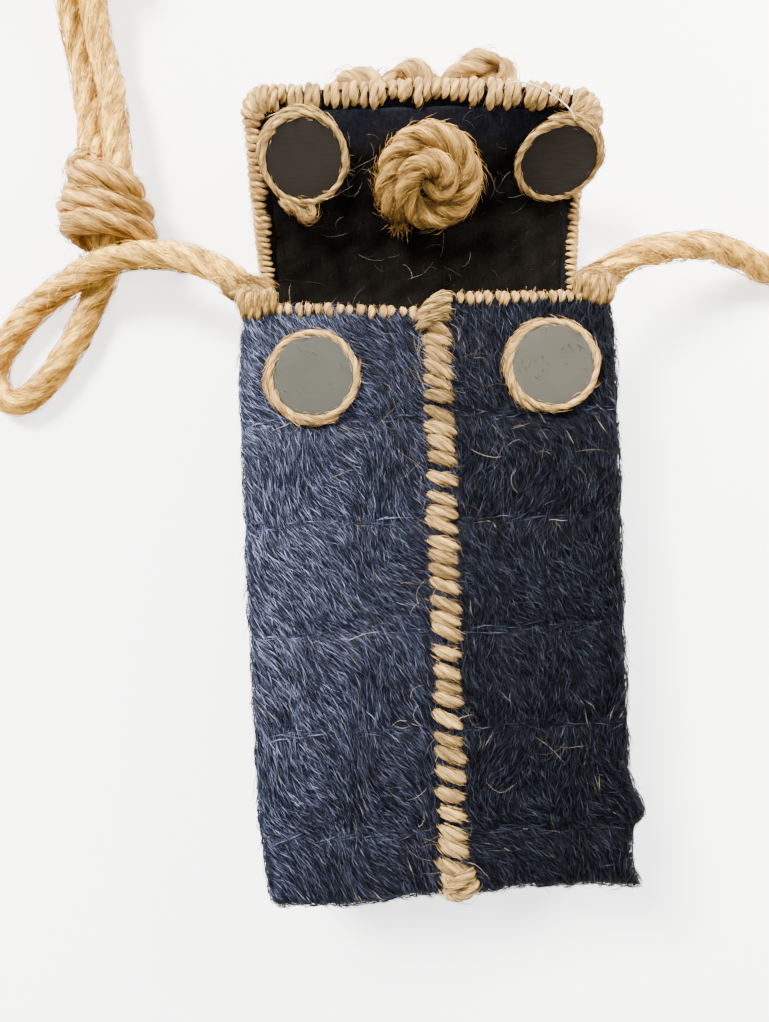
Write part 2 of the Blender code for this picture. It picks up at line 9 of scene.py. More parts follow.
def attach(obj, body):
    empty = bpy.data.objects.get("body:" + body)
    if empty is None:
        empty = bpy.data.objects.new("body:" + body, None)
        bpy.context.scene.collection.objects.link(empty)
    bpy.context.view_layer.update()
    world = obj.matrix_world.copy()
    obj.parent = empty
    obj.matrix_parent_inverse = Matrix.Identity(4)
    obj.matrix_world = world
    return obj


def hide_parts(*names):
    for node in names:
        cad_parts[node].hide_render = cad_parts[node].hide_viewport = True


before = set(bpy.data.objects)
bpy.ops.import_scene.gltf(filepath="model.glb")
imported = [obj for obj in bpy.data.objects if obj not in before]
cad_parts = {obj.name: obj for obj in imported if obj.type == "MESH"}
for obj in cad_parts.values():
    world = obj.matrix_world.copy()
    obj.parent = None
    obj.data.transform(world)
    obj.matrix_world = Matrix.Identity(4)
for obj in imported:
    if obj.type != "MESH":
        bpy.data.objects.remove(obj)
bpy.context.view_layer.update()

MM = 0.001


# The table, the light and the camera. The pouch lies on a plain white sheet under a large soft
# window from the left, and is looked at from straight above, close by.
bpy.ops.object.select_all(action="DESELECT")
bpy.ops.mesh.primitive_plane_add(size=6.0, location=(0.0, 0.1, -0.0004))
table_top = bpy.context.object
table_top.name = "table_top"
bpy.ops.object.mode_set(mode="EDIT")
bpy.ops.mesh.subdivide(number_cuts=3)
bpy.ops.object.mode_set(mode="OBJECT")
bpy.ops.object.transform_apply(location=True, rotation=True, scale=True)
white_sheet = bpy.data.materials.new("white_sheet")
white_sheet.use_nodes = True
sheet_shader = white_sheet.node_tree.nodes["Principled BSDF"]
sheet_shader.inputs["Base Color"].default_value = (0.93, 0.93, 0.93, 1.0)
sheet_shader.inputs["Roughness"].default_value = 0.9
sheet_shader.inputs["Emission Color"].default_value = (1.0, 1.0, 1.0, 1.0)
sheet_shader.inputs["Emission Strength"].default_value = 1.8
table_top.data.materials.append(white_sheet)

room = bpy.data.worlds.new("room")
bpy.context.scene.world = room
room.use_nodes = True
room.node_tree.nodes["Background"].inputs["Color"].default_value = (0.95, 0.97, 1.0, 1.0)
room.node_tree.nodes["Background"].inputs["Strength"].default_value = 0.47


def soft_lamp(name, place, aim, size, power, colour):
    """A square studio lamp turned to the point that it lights."""
    bpy.ops.object.light_add(type="AREA", location=place)
    lamp = bpy.context.object
    lamp.name = name
    lamp.data.size = size
    lamp.data.energy = power
    lamp.data.color = colour
    lamp.rotation_euler = (Vector(aim) - Vector(place)).to_track_quat("-Z", "Y").to_euler()


soft_lamp("window_left", (-0.98, 1.27, 1.58), (-0.03, 0.03, 0.02), 0.7, 300.0, (1.0, 0.965, 0.90))
soft_lamp("fill_above", (0.25, -0.2, 1.3), (0.0, 0.05, 0.0), 1.2, 14.0, (0.96, 0.98, 1.0))
soft_lamp("fill_right", (0.35, 0.33, 0.30), (0.14, 0.12, 0.02), 0.20, 7.0, (1.0, 0.96, 0.88))

CAMERA_PLACE = (-0.016, 0.029, 0.283)
CAMERA_TURN = math.radians(-2.6)
bpy.ops.object.camera_add(location=CAMERA_PLACE, rotation=(0.0, 0.0, CAMERA_TURN))
camera = bpy.context.object
camera.data.lens = 26.0
camera.data.sensor_width = 36.0
camera.data.clip_start = 0.01
bpy.context.scene.camera = camera


# The strap: two soft-laid ropes of pale jute, about as thick as a pencil, fuzzy with loose fibres.
# The left one leaves the pouch, loops round and runs up through the lower sliding knot to the
# upper one. The right one goes round the long way, through the upper knot and down to the lower.
ROPE = 9.5 * MM
ROPE_STEP = 1.3 * MM
ROPE_SIDES = 30
ROPE_PLIES = 4
ROPE_TWIST = 62 * MM
ROPE_GROOVE = 0.29
ROPE_FUZZ = (
    # fibres in each metre, their length, width and lift, the share that stray, and their twist
    (4300, 10 * MM, 0.28 * MM, 0.8 * MM, 0.14, 75 * MM),
    (1900, 8 * MM, 0.20 * MM, 1.0 * MM, 0.45, -70 * MM),
)
STRAP_LEFT_ROUTE = (
    (-0.0620, 0.1085, 0.0335), (-0.0653, 0.1110, 0.0330), (-0.0750, 0.1171, 0.0300),
    (-0.0829, 0.1202, 0.0270), (-0.0903, 0.1225, 0.0240), (-0.0987, 0.1240, 0.0205),
    (-0.1069, 0.1243, 0.0175), (-0.1151, 0.1228, 0.0155), (-0.1240, 0.1204, 0.0118),
    (-0.1323, 0.1175, 0.0080), (-0.1399, 0.1137, 0.0055), (-0.1461, 0.1089, 0.0048),
    (-0.1525, 0.1020, 0.0048), (-0.1581, 0.0939, 0.0048), (-0.1606, 0.0860, 0.0048),
    (-0.1580, 0.0785, 0.0048), (-0.1512, 0.0762, 0.0048), (-0.1434, 0.0812, 0.0048),
    (-0.1357, 0.0899, 0.0048), (-0.1284, 0.1005, 0.0048), (-0.1225, 0.1120, 0.0048),
    (-0.1180, 0.1185, 0.0062), (-0.1138, 0.1262, 0.0118), (-0.1138, 0.1302, 0.0118),
)
STRAND_LEFT_ROUTE = (
    (-0.1171, 0.1588, 0.0123), (-0.1171, 0.1630, 0.0123), (-0.1184, 0.1758, 0.0085),
    (-0.1203, 0.1870, 0.0060), (-0.1229, 0.2063, 0.0050), (-0.1246, 0.2220, 0.0080),
    (-0.1247, 0.2335, 0.0127), (-0.1247, 0.2377, 0.0127),
)
STRAND_RIGHT_ROUTE = (
    (-0.1070, 0.1588, 0.0145), (-0.1070, 0.1630, 0.0145), (-0.1078, 0.1750, 0.0135),
    (-0.1095, 0.1900, 0.0115), (-0.1130, 0.2063, 0.0110), (-0.1146, 0.2220, 0.0125),
    (-0.1145, 0.2335, 0.0145), (-0.1145, 0.2377, 0.0145),
)
STRAP_RIGHT_ROUTE = (
    (0.0631, 0.1068, 0.0336), (0.0660, 0.1085, 0.0334), (0.0751, 0.1127, 0.0310),
    (0.0871, 0.1156, 0.0270), (0.0997, 0.1176, 0.0220), (0.1154, 0.1168, 0.0140),
    (0.1306, 0.1125, 0.0070), (0.1430, 0.1105, 0.0048), (0.1550, 0.1140, 0.0048),
    (0.1645, 0.1235, 0.0048), (0.1700, 0.1380, 0.0048), (0.1720, 0.1620, 0.0048),
    (0.1720, 0.2000, 0.0048), (0.1700, 0.2450, 0.0048), (0.1610, 0.2950, 0.0048),
    (0.1370, 0.3450, 0.0048), (0.0980, 0.3820, 0.0048), (0.0480, 0.4040, 0.0048),
    (-0.0050, 0.4050, 0.0048), (-0.0540, 0.3830, 0.0048), (-0.0900, 0.3480, 0.0048),
    (-0.1110, 0.3060, 0.0052), (-0.1175, 0.2780, 0.0100), (-0.1190, 0.2702, 0.0138),
    (-0.1190, 0.2663, 0.0138),
)
LEFT_START = (-0.0585, 0.1055, 0.0336)
RIGHT_START = (0.0592, 0.1040, 0.0338)
IN_LOWER_KNOT = ((-0.1150, 0.1445, 0.0122), (-0.1072, 0.1450, 0.0142))
IN_UPPER_KNOT = ((-0.1240, 0.2500, 0.0128), (-0.1160, 0.2520, 0.0144))
ROPE_CREAM = (0.93, 0.57, 0.110)
ROPE_BROWN = (0.24, 0.11, 0.026)
TABLE_CLEAR = 0.2 * MM
# painted shade: the way that the rope's shaded side faces, away from the window and down, and how much of
# each colour the painted shade takes
SHADED_WAY = np.array((0.60, -0.79, -0.14))
SHADE_DEPTH = np.array((0.42, 0.52, 0.68))


def unit(rows):
    """Vectors at length one."""
    return rows / np.maximum(np.linalg.norm(rows, axis=-1, keepdims=True), 1e-12)


def smooth_route(route, step):
    """Evenly spaced points on a smooth curve through a route's points."""
    points = [Vector(point) for point in route]
    padded = [points[0] * 2 - points[1], *points, points[-1] * 2 - points[-2]]
    fine = []
    for a, b, c, d in zip(padded, padded[1:], padded[2:], padded[3:]):
        for k in range(12):
            t = k / 12
            squared = (2 * a - 5 * b + 4 * c - d) * t**2
            cubed = (3 * b - a - 3 * c + d) * t**3
            fine.append(0.5 * (2 * b + (c - a) * t + squared + cubed))
    fine = np.array([*fine, points[-1]])
    along = np.concatenate(([0.0], np.cumsum(np.linalg.norm(np.diff(fine, axis=0), axis=1))))
    count = max(int(round(along[-1] / step)), 3)
    at = np.linspace(0.0, along[-1], count + 1)
    return np.stack([np.interp(at, along, fine[:, axis]) for axis in range(3)], axis=1)


def lay(path, side=None):
    """A path, its distance along and its two cross directions, which side fixes if it is given."""
    ahead = unit(np.gradient(path, axis=0))
    along = np.concatenate(([0.0], np.cumsum(np.linalg.norm(np.diff(path, axis=0), axis=1))))
    if side is not None:
        across = unit(side - ahead * (ahead @ np.asarray(side))[:, None])
        return path, along, np.cross(across, ahead), across
    start = np.array((0.0, 0.0, 1.0)) if abs(ahead[0][2]) < 0.9 else np.array((1.0, 0.0, 0.0))
    up = [unit(start - ahead[0] * (start @ ahead[0]))]
    for direction in ahead[1:]:
        up.append(unit(up[-1] - direction * (up[-1] @ direction)))
    up = np.array(up)
    return path, along, up, np.cross(ahead, up)


def ripples(rng, places, size, waves=9):
    """A smooth seeded waviness, about -1 to 1, at places whose features are about size long."""
    places = np.atleast_2d(places)
    ways = unit(rng.normal(size=(waves, places.shape[-1]))) * (math.tau / size)
    ways *= rng.uniform(0.5, 1.6, (waves, 1))
    phases = rng.uniform(0, math.tau, waves)
    return np.clip(np.sin(places @ ways.T + phases).sum(axis=-1) / math.sqrt(waves) * 0.9, -1.3, 1.3)


def mixed(low, high, share):
    """The colour at each share of the way from low to high."""
    share = np.clip(np.asarray(share), 0.0, 1.0)[..., None]
    return np.asarray(low) * (1 - share) + np.asarray(high) * share


def away_side_shade(facing, away_shade):
    """Painted shade: the share of each colour that is left where a fibre's side faces away from the window.
    """
    shade_share = np.clip(facing @ SHADED_WAY * 1.15 + 0.06, 0, 1)[..., None] * away_shade
    return 1 - shade_share * SHADE_DEPTH


def spun(rng, laid, radius, plies, twist, sides=10, groove=0.3, flat=1.0, blunt=True,
         tones=(ROPE_BROWN, ROPE_CREAM), taper=1.6, away_shade=0.0):
    """A length of laid yarn or rope: a closed tube whose plies turn once in each twist."""
    path, along, up, across = laid
    count = len(path)
    turns = np.arange(sides) / sides * math.tau
    phase = turns[None, :] - math.tau * along[:, None] / twist
    lobe = np.abs(np.sin(plies / 2 * phase)) ** 0.75
    spots = np.broadcast_arrays(along[:, None] / (3 * radius), np.cos(phase), np.sin(phase))
    wave = ripples(rng, np.stack(spots, -1).reshape(-1, 3), 1.6).reshape(count, sides)
    from_end = np.minimum(along, along[-1] - along) / radius
    if blunt:
        swell = np.sqrt(np.clip(1 - (1 - np.clip(from_end, 0, 1)) ** 2, 0.03, 1))
    else:
        swell = np.clip(0.25 + 0.75 * from_end / taper, 0.25, 1)
    reach = radius * swell[:, None] * (1 - groove * (1 - lobe)) * (1 + 0.05 * wave)
    points = path[:, None] + up[:, None] * (reach * flat * np.cos(turns))[..., None]
    points = points + across[:, None] * (reach * np.sin(turns))[..., None]
    tips = np.stack((path[0], path[-1]))
    verts = np.concatenate((points.reshape(-1, 3), tips))
    i, j = np.meshgrid(np.arange(count - 1), np.arange(sides), indexing="ij")
    a, b = i * sides + j, i * sides + (j + 1) % sides
    quads = np.stack((a, b, b + sides, a + sides), -1).reshape(-1, 4)
    j = np.arange(sides)
    n = (j + 1) % sides
    last = (count - 1) * sides
    first_cap = np.stack((np.full(sides, count * sides), n, j), -1)
    last_cap = np.stack((np.full(sides, count * sides + 1), last + j, last + n), -1)
    # painted shade: each ply's colour runs from the dark tone in the grooves between plies to the pale tone
    # on its crown, with a random waviness on top
    shade = lobe * 0.75 + 0.18 + 0.22 * wave
    facing = up[:, None] * np.cos(turns)[:, None] + across[:, None] * np.sin(turns)[:, None]
    # painted shade: the side of the rope that faces away from the window is darkened, as much as the last
    # argument asks
    tint = mixed(*tones, shade) * away_side_shade(facing, away_shade)
    tint = np.concatenate((tint.reshape(-1, 3), np.tile(mixed(*tones, 0.4), (2, 1))))
    drift = rng.uniform(0, 1, 3)
    grain = np.stack(np.broadcast_arrays(along[:, None], radius * np.cos(phase), radius * np.sin(phase)), -1)
    grain = np.concatenate((grain.reshape(-1, 3), np.zeros((2, 3)))) + drift
    return verts, quads, np.concatenate((first_cap, last_cap)), tint, grain


def threads(points, width, tint, thin=0.55):
    """Loose fibres, one for each row of points: pointed at both ends, three-sided between."""
    count, stations, _ = points.shape
    ahead = unit(points[:, 2:] - points[:, :-2])
    lean = np.where(np.abs(ahead[..., 2:]) > 0.9, (1.0, 0.0, 0.0), (0.0, 0.0, 1.0))
    across = unit(np.cross(lean, ahead))
    up = np.cross(ahead, across)
    inner = stations - 2
    shrink = np.linspace(1.0, thin, inner)[None, :, None]
    rings = []
    for turn in (0.0, math.tau / 3, 2 * math.tau / 3):
        way = across * math.cos(turn) + up * math.sin(turn)
        rings.append(points[:, 1:-1] + way * shrink * width[:, None, None] / 2)
    rings = np.stack(rings, axis=2).reshape(count, inner * 3, 3)
    verts = np.concatenate((points[:, :1], rings, points[:, -1:]), axis=1)
    each = inner * 3 + 2
    quads, tris = [], []
    for k in range(3):
        n = (k + 1) % 3
        tris.append((0, 1 + n, 1 + k))
        tris.append((each - 1, each - 4 + k, each - 4 + n))
        for ring in range(inner - 1):
            a, b = 1 + 3 * ring + k, 1 + 3 * ring + n
            quads.append((a, b, b + 3, a + 3))
    starts = (np.arange(count) * each)[:, None, None]
    quads = (np.array(quads, dtype=int).reshape(1, -1, 4) + starts).reshape(-1, 4)
    tris = (np.array(tris)[None] + starts).reshape(-1, 3)
    verts = verts.reshape(-1, 3)
    return verts, quads, tris, np.repeat(tint, each, axis=0), verts * 0.3


def fuzz(rng, laid, radius, count, length, width, lift, stray, twist, tones, flat=1.0, away_shade=0.0):
    """Fibres that lie along a yarn with its twist, with a share of them standing off it."""
    path, along, up, across = laid
    span = rng.uniform(0.6, 1.4, count) * min(length, along[-1] * 0.8)
    start = rng.uniform(0, 1, count) * (along[-1] - span)
    t = np.linspace(0, 1, 4)[None, :]
    at = start[:, None] + span[:, None] * t
    turn = rng.uniform(0, math.tau, count)[:, None] + math.tau * (at - start[:, None]) / twist
    turn = turn + rng.normal(0, 0.22, count)[:, None] * t + rng.normal(0, 0.12, (count, 4))
    off = rng.uniform(-0.1, 1.0, count)[:, None] * lift * np.sin(math.pi * (0.15 + 0.7 * t))
    free = rng.random(count) < stray
    off = off + free[:, None] * rng.uniform(0.8, 3.0, count)[:, None] * lift * t**2
    reach = radius * 0.97 + off
    places = []
    for rows in (path, up, across):
        places.append(np.stack([np.interp(at, along, rows[:, axis]) for axis in range(3)], -1))
    centre, over, beside = places
    points = centre + over * (reach * flat * np.cos(turn))[..., None]
    points = points + beside * (reach * np.sin(turn))[..., None]
    points[..., 2] = np.maximum(points[..., 2], TABLE_CLEAR)
    wide = width * rng.uniform(0.6, 1.4, count)
    facing = over[:, 1] * np.cos(turn[:, 1:2]) + beside[:, 1] * np.sin(turn[:, 1:2])
    # painted shade: each fibre is darkened where it lies on the rope's side away from the window
    tint = mixed(*tones, rng.beta(2.0, 1.5, count) * 1.15) * away_side_shade(facing, away_shade)
    return threads(points, wide, tint)


def joined(name, parts, finishes):
    """One object from many closed parts, with each part's colour and its grain along the yarn."""
    verts, quads, tris, tints, grains = [], [], [], [], []
    base = 0
    for points, fours, threes, tint, grain in parts:
        verts.append(points)
        quads.append(fours + base)
        tris.append(threes + base)
        tints.append(tint)
        grains.append(grain)
        base += len(points)
    verts, tints, grains = np.concatenate(verts), np.concatenate(tints), np.concatenate(grains)
    quads = np.concatenate(quads).reshape(-1, 4).astype(np.int32)
    tris = np.concatenate(tris).reshape(-1, 3).astype(np.int32)
    mesh = bpy.data.meshes.new(name)
    mesh.vertices.add(len(verts))
    mesh.vertices.foreach_set("co", verts.astype(np.float32).ravel())
    mesh.loops.add(quads.size + tris.size)
    mesh.loops.foreach_set("vertex_index", np.concatenate((quads.ravel(), tris.ravel())))
    mesh.polygons.add(len(quads) + len(tris))
    starts = np.concatenate((np.arange(len(quads)) * 4, quads.size + np.arange(len(tris)) * 3))
    mesh.polygons.foreach_set("loop_start", starts.astype(np.int32))
    mesh.update(calc_edges=True)
    opaque = np.concatenate((tints, np.ones((len(tints), 1))), 1)
    tint = mesh.attributes.new("tint", "FLOAT_COLOR", "POINT")
    tint.data.foreach_set("color", opaque.astype(np.float32).ravel())
    grain = mesh.attributes.new("grain", "FLOAT_VECTOR", "POINT")
    grain.data.foreach_set("vector", grains.astype(np.float32).ravel())
    mesh.shade_smooth()
    made = bpy.data.objects.new(name, mesh)
    bpy.context.scene.collection.objects.link(made)
    for finish in finishes:
        made.data.materials.append(finish)
    return made


def fibre_finish(name, streak, contrast, roughness, shine, bump):
    """Spun fibre: each part's own colour, with fine streaks along the yarn and browner patches."""
    made = bpy.data.materials.new(name)
    made.use_nodes = True
    nodes, links = made.node_tree.nodes, made.node_tree.links
    shader = nodes["Principled BSDF"]
    tint = nodes.new("ShaderNodeAttribute")
    tint.attribute_name = "tint"
    grain = nodes.new("ShaderNodeAttribute")
    grain.attribute_name = "grain"
    place = nodes.new("ShaderNodeMapping")
    place.inputs["Scale"].default_value = streak
    links.new(grain.outputs["Vector"], place.inputs["Vector"])
    streaks = nodes.new("ShaderNodeTexNoise")
    streaks.inputs["Scale"].default_value = 1.0
    streaks.inputs["Detail"].default_value = 6.0
    streaks.inputs["Roughness"].default_value = 0.65
    links.new(place.outputs["Vector"], streaks.inputs["Vector"])
    tone = nodes.new("ShaderNodeMapRange")
    tone.inputs["From Min"].default_value = 0.3
    tone.inputs["From Max"].default_value = 0.7
    tone.inputs["To Min"].default_value = 1.0 - contrast
    tone.inputs["To Max"].default_value = 1.0 + contrast * 0.55
    links.new(streaks.outputs["Fac"], tone.inputs["Value"])
    broad = nodes.new("ShaderNodeMapping")
    broad.inputs["Scale"].default_value = (streak[0] * 0.75, streak[1] * 0.22, streak[2] * 0.22)
    links.new(grain.outputs["Vector"], broad.inputs["Vector"])
    patches = nodes.new("ShaderNodeTexNoise")
    patches.inputs["Scale"].default_value = 1.0
    patches.inputs["Detail"].default_value = 2.0
    links.new(broad.outputs["Vector"], patches.inputs["Vector"])
    uneven = nodes.new("ShaderNodeMapRange")
    uneven.inputs["From Min"].default_value = 0.34
    uneven.inputs["From Max"].default_value = 0.66
    links.new(patches.outputs["Fac"], uneven.inputs["Value"])
    browner = nodes.new("ShaderNodeVectorMath")
    browner.operation = "MULTIPLY_ADD"
    links.new(uneven.outputs["Result"], browner.inputs[0])
    browner.inputs[1].default_value = (contrast * 0.74, contrast * 0.83, contrast * 0.93)
    browner.inputs[2].default_value = (1.0 - contrast * 0.36, 1.0 - contrast * 0.45, 1.0 - contrast * 0.55)
    dyed = nodes.new("ShaderNodeVectorMath")
    dyed.operation = "SCALE"
    links.new(tint.outputs["Color"], dyed.inputs[0])
    links.new(tone.outputs["Result"], dyed.inputs["Scale"])
    patched = nodes.new("ShaderNodeVectorMath")
    patched.operation = "MULTIPLY"
    links.new(dyed.outputs["Vector"], patched.inputs[0])
    links.new(browner.outputs["Vector"], patched.inputs[1])
    links.new(patched.outputs["Vector"], shader.inputs["Base Color"])
    relief = nodes.new("ShaderNodeBump")
    relief.inputs["Strength"].default_value = bump
    relief.inputs["Distance"].default_value = 0.4 * MM
    links.new(streaks.outputs["Fac"], relief.inputs["Height"])
    links.new(relief.outputs["Normal"], shader.inputs["Normal"])
    shader.inputs["Roughness"].default_value = roughness
    shader.inputs["Specular IOR Level"].default_value = shine
    return made


rope_jute = fibre_finish("rope_jute", (310.0, 1900.0, 1900.0), 0.86, 0.72, 0.12, 1.0)


def strap_rope(name, route, seed, away_shade):
    """A whole rope of the strap, with its fibres."""
    rng = np.random.default_rng(seed)
    laid = lay(smooth_route(route, ROPE_STEP))
    parts = [spun(rng, laid, ROPE / 2, ROPE_PLIES, ROPE_TWIST, ROPE_SIDES, ROPE_GROOVE, away_shade=away_shade)]
    for each_metre, *fibres in ROPE_FUZZ:
        count = int(laid[1][-1] * each_metre)
        parts.append(fuzz(rng, laid, ROPE / 2, count, *fibres, (ROPE_BROWN, ROPE_CREAM), away_shade=away_shade))
    made = joined(name, parts, [rope_jute])
    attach(made, "root")
    return made, laid


left_route = (
    LEFT_START, *STRAP_LEFT_ROUTE[1:-1],
    IN_LOWER_KNOT[0], *STRAND_LEFT_ROUTE[1:-1],
    IN_UPPER_KNOT[0],
)
right_route = (
    RIGHT_START, *STRAP_RIGHT_ROUTE[1:-1],
    IN_UPPER_KNOT[1], *reversed(STRAND_RIGHT_ROUTE[1:-1]),
    IN_LOWER_KNOT[1],
)
# the ropes' painted shade on their sides away from the window: full on the left rope, less on the right
left_rope, left_laid = strap_rope("left_rope", left_route, 11, 1.0)
right_rope, right_laid = strap_rope("right_rope", right_route, 12, 0.65)
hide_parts("strap_left", "strand_left")
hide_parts("strap_right", "strand_right")


# The two sliding knots: each is a barrel of three wraps of rope, drawn tight round both runs of the
# strap, with a bend of rope over its upper left and a tuft of frayed fibres at its lower left.
KNOTS = {"strap_knot_lower": (-0.112, 0.1445), "strap_knot_upper": (-0.119, 0.252)}
KNOT_FIBRES = {"strap_knot_lower": 1200, "strap_knot_upper": 500}
KNOT_ROPE = 9.0 * MM
KNOT_PITCH = 9.4 * MM
KNOT_WIDE = 13.4 * MM
KNOT_DROP = 1.6 * MM
KNOT_HIGH = 9.3 * MM
KNOT_LEAN = 0.20
# how wide the wraps are at each share of the way down, as a share of the widest
KNOT_SQUEEZE = ((0.0, 0.52), (0.10, 0.70), (0.30, 0.82), (0.50, 1.0), (0.88, 1.0), (1.0, 0.7))
COLLAR = (
    # the bend of the rope over the knot's upper left, in millimetres from the knot's middle
    (-2.4, 23.0, 11.0), (-6.2, 20.0, 13.0), (-8.8, 15.6, 15.6), (-7.4, 11.6, 19.4),
    (-3.0, 9.6, 23.0), (3.2, 8.0, 24.4), (9.6, 5.6, 22.0), (13.6, 3.4, 16.0),
)
TUFT_FIBRES = 130
KNOT_TONES = ((0.085, 0.038, 0.010), (0.70, 0.42, 0.105))


def knot_rope(rng, route, count, lift, stray):
    """One bent length of a knot's rope, with its fibres."""
    laid = lay(smooth_route(route, 1.1 * MM))
    # the knot's rope takes the full painted shade on its sides away from the window
    return [
        spun(rng, laid, KNOT_ROPE / 2, ROPE_PLIES, 48 * MM, 28, 0.34, tones=KNOT_TONES, away_shade=1.0),
        fuzz(rng, laid, KNOT_ROPE / 2, count, 8 * MM, 0.26 * MM, lift, stray, 70 * MM, KNOT_TONES, away_shade=1.0),
    ]


knots = {}
for number, (node, (knot_x, knot_y)) in enumerate(KNOTS.items()):
    rng = np.random.default_rng(21 + number)
    centre_z = KNOT_HIGH + KNOT_ROPE / 2 + TABLE_CLEAR
    turn = np.linspace(-0.75 * math.pi, 5.6 * math.pi, 26 * 3)
    share = (turn - turn[0]) / (turn[-1] - turn[0])
    squeeze = np.interp(share, *zip(*KNOT_SQUEEZE))
    wrap_x = knot_x + KNOT_WIDE * squeeze * np.cos(turn)
    wrap_y = knot_y - KNOT_DROP + KNOT_PITCH * 2.35 * (0.5 - share) - KNOT_LEAN * (wrap_x - knot_x)
    wrap_z = centre_z + KNOT_HIGH * squeeze * np.sin(turn)
    wraps = np.stack((wrap_x, wrap_y, wrap_z), 1)
    parts = knot_rope(rng, wraps, KNOT_FIBRES[node], 1.0 * MM, 0.22)
    collar = [(knot_x + x * MM, knot_y - KNOT_DROP + y * MM, z * MM) for x, y, z in COLLAR]
    parts += knot_rope(rng, collar, 280, 1.1 * MM, 0.3)
    tuft = np.array((knot_x - 6.0 * MM, knot_y - KNOT_DROP - 16.0 * MM, 13.0 * MM))
    tuft = tuft + rng.normal(0, 1.0, (TUFT_FIBRES, 1, 3)) * np.array((3.2, 1.4, 3.0)) * MM
    away = unit(rng.normal((0.1, -0.9, 0.05), (0.35, 0.25, 0.35), (TUFT_FIBRES, 3)))
    t = np.linspace(0, 1, 5)[None, :, None]
    tuft = tuft + away[:, None] * rng.uniform(2.5, 7.5, (TUFT_FIBRES, 1, 1)) * MM * t
    tuft = tuft + rng.normal(0, 0.35 * MM, (TUFT_FIBRES, 5, 3)) * t
    tuft[..., 2] = np.maximum(tuft[..., 2], TABLE_CLEAR)
    wide = rng.uniform(0.15, 0.34, TUFT_FIBRES) * MM
    parts.append(threads(tuft, wide, mixed(*KNOT_TONES, rng.beta(1.6, 1.4, TUFT_FIBRES))))
    knots[node] = joined(node + "_wraps", parts, [rope_jute])
    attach(knots[node], "root")
    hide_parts(node)


# The boards of the pouch: stiff board with navy-dyed jute yarn laid side by side over it and brushed
# up into a short nap, caught down by a thread in a few rows. The inner faces are plain black felt.
BODY_WIDTH = 122 * MM
BODY_HEIGHT = 192 * MM
BODY_DEPTH = 45 * MM
BOARD = 3 * MM
CAUGHT_ROWS = (0.105, 0.28, 0.445, 0.63, 0.805)
CAUGHT_WIDTH = 3.2 * MM
CORNER_FOLDS = ((-71.5 * MM, 3.4 * MM, 4.5 * MM), (-98.0 * MM, 2.6 * MM, 4.0 * MM))
NAVY_DEEP = (0.0080, 0.0095, 0.0200)
NAVY_PALE = (0.265, 0.305, 0.505)
# painted shade: the dark colour of the board between the nap's fibres
NAVY_SHADED_GROUND = (0.0045, 0.0055, 0.0120)
LINT_TAN = (0.32, 0.275, 0.21)
INNER_BLACK = (0.006, 0.006, 0.007)
NAP_CLEAR = 0.05 * MM
NAP_WIDTH = 0.23 * MM
NAP_LIFT = 1.2 * MM
CAUGHT_FIBRES = 70
MERGED = 0.01 * MM

navy_nap = fibre_finish("navy_nap", (900.0, 900.0, 900.0), 0.35, 0.5, 0.07, 0.5)
black_felt = fibre_finish("black_felt", (1500.0, 1500.0, 1500.0), 0.5, 0.95, 0.03, 0.6)


def read_mesh(board):
    """A mesh's points, its normals, and its corners in threes, as arrays."""
    mesh = board.data
    points = np.empty(len(mesh.vertices) * 3, np.float32)
    mesh.vertices.foreach_get("co", points)
    normals = np.empty(len(mesh.vertices) * 3, np.float32)
    mesh.vertex_normals.foreach_get("vector", normals)
    mesh.calc_loop_triangles()
    corners = np.empty(len(mesh.loop_triangles) * 3, np.int32)
    mesh.loop_triangles.foreach_get("vertices", corners)
    points, normals = (rows.reshape(-1, 3).astype(float) for rows in (points, normals))
    return points, normals, corners.reshape(-1, 3)


def board_copy(node, grain_size):
    """A copy of a board, merged and remade in an even net that is fine enough for its yarn."""
    bpy.ops.object.select_all(action="DESELECT")
    copy = bpy.data.objects.new(node + "_cover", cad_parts[node].data.copy())
    bpy.context.scene.collection.objects.link(copy)
    copy.select_set(True)
    bpy.context.view_layer.objects.active = copy
    bpy.ops.object.mode_set(mode="EDIT")
    bpy.ops.mesh.select_all(action="SELECT")
    bpy.ops.mesh.remove_doubles(threshold=MERGED)
    bpy.ops.object.mode_set(mode="OBJECT")
    copy.data.remesh_voxel_size = grain_size
    bpy.ops.object.voxel_remesh()
    copy.data.materials.clear()
    return copy


def combed(rng, places, mean, swing, size, jitter):
    """The way the nap lies: an angle in degrees that wanders, each fibre a little off it."""
    wander = ripples(rng, places / np.array((1.0, 2.2)), size)
    return np.radians(mean + swing * wander + rng.normal(0, jitter, len(places)))


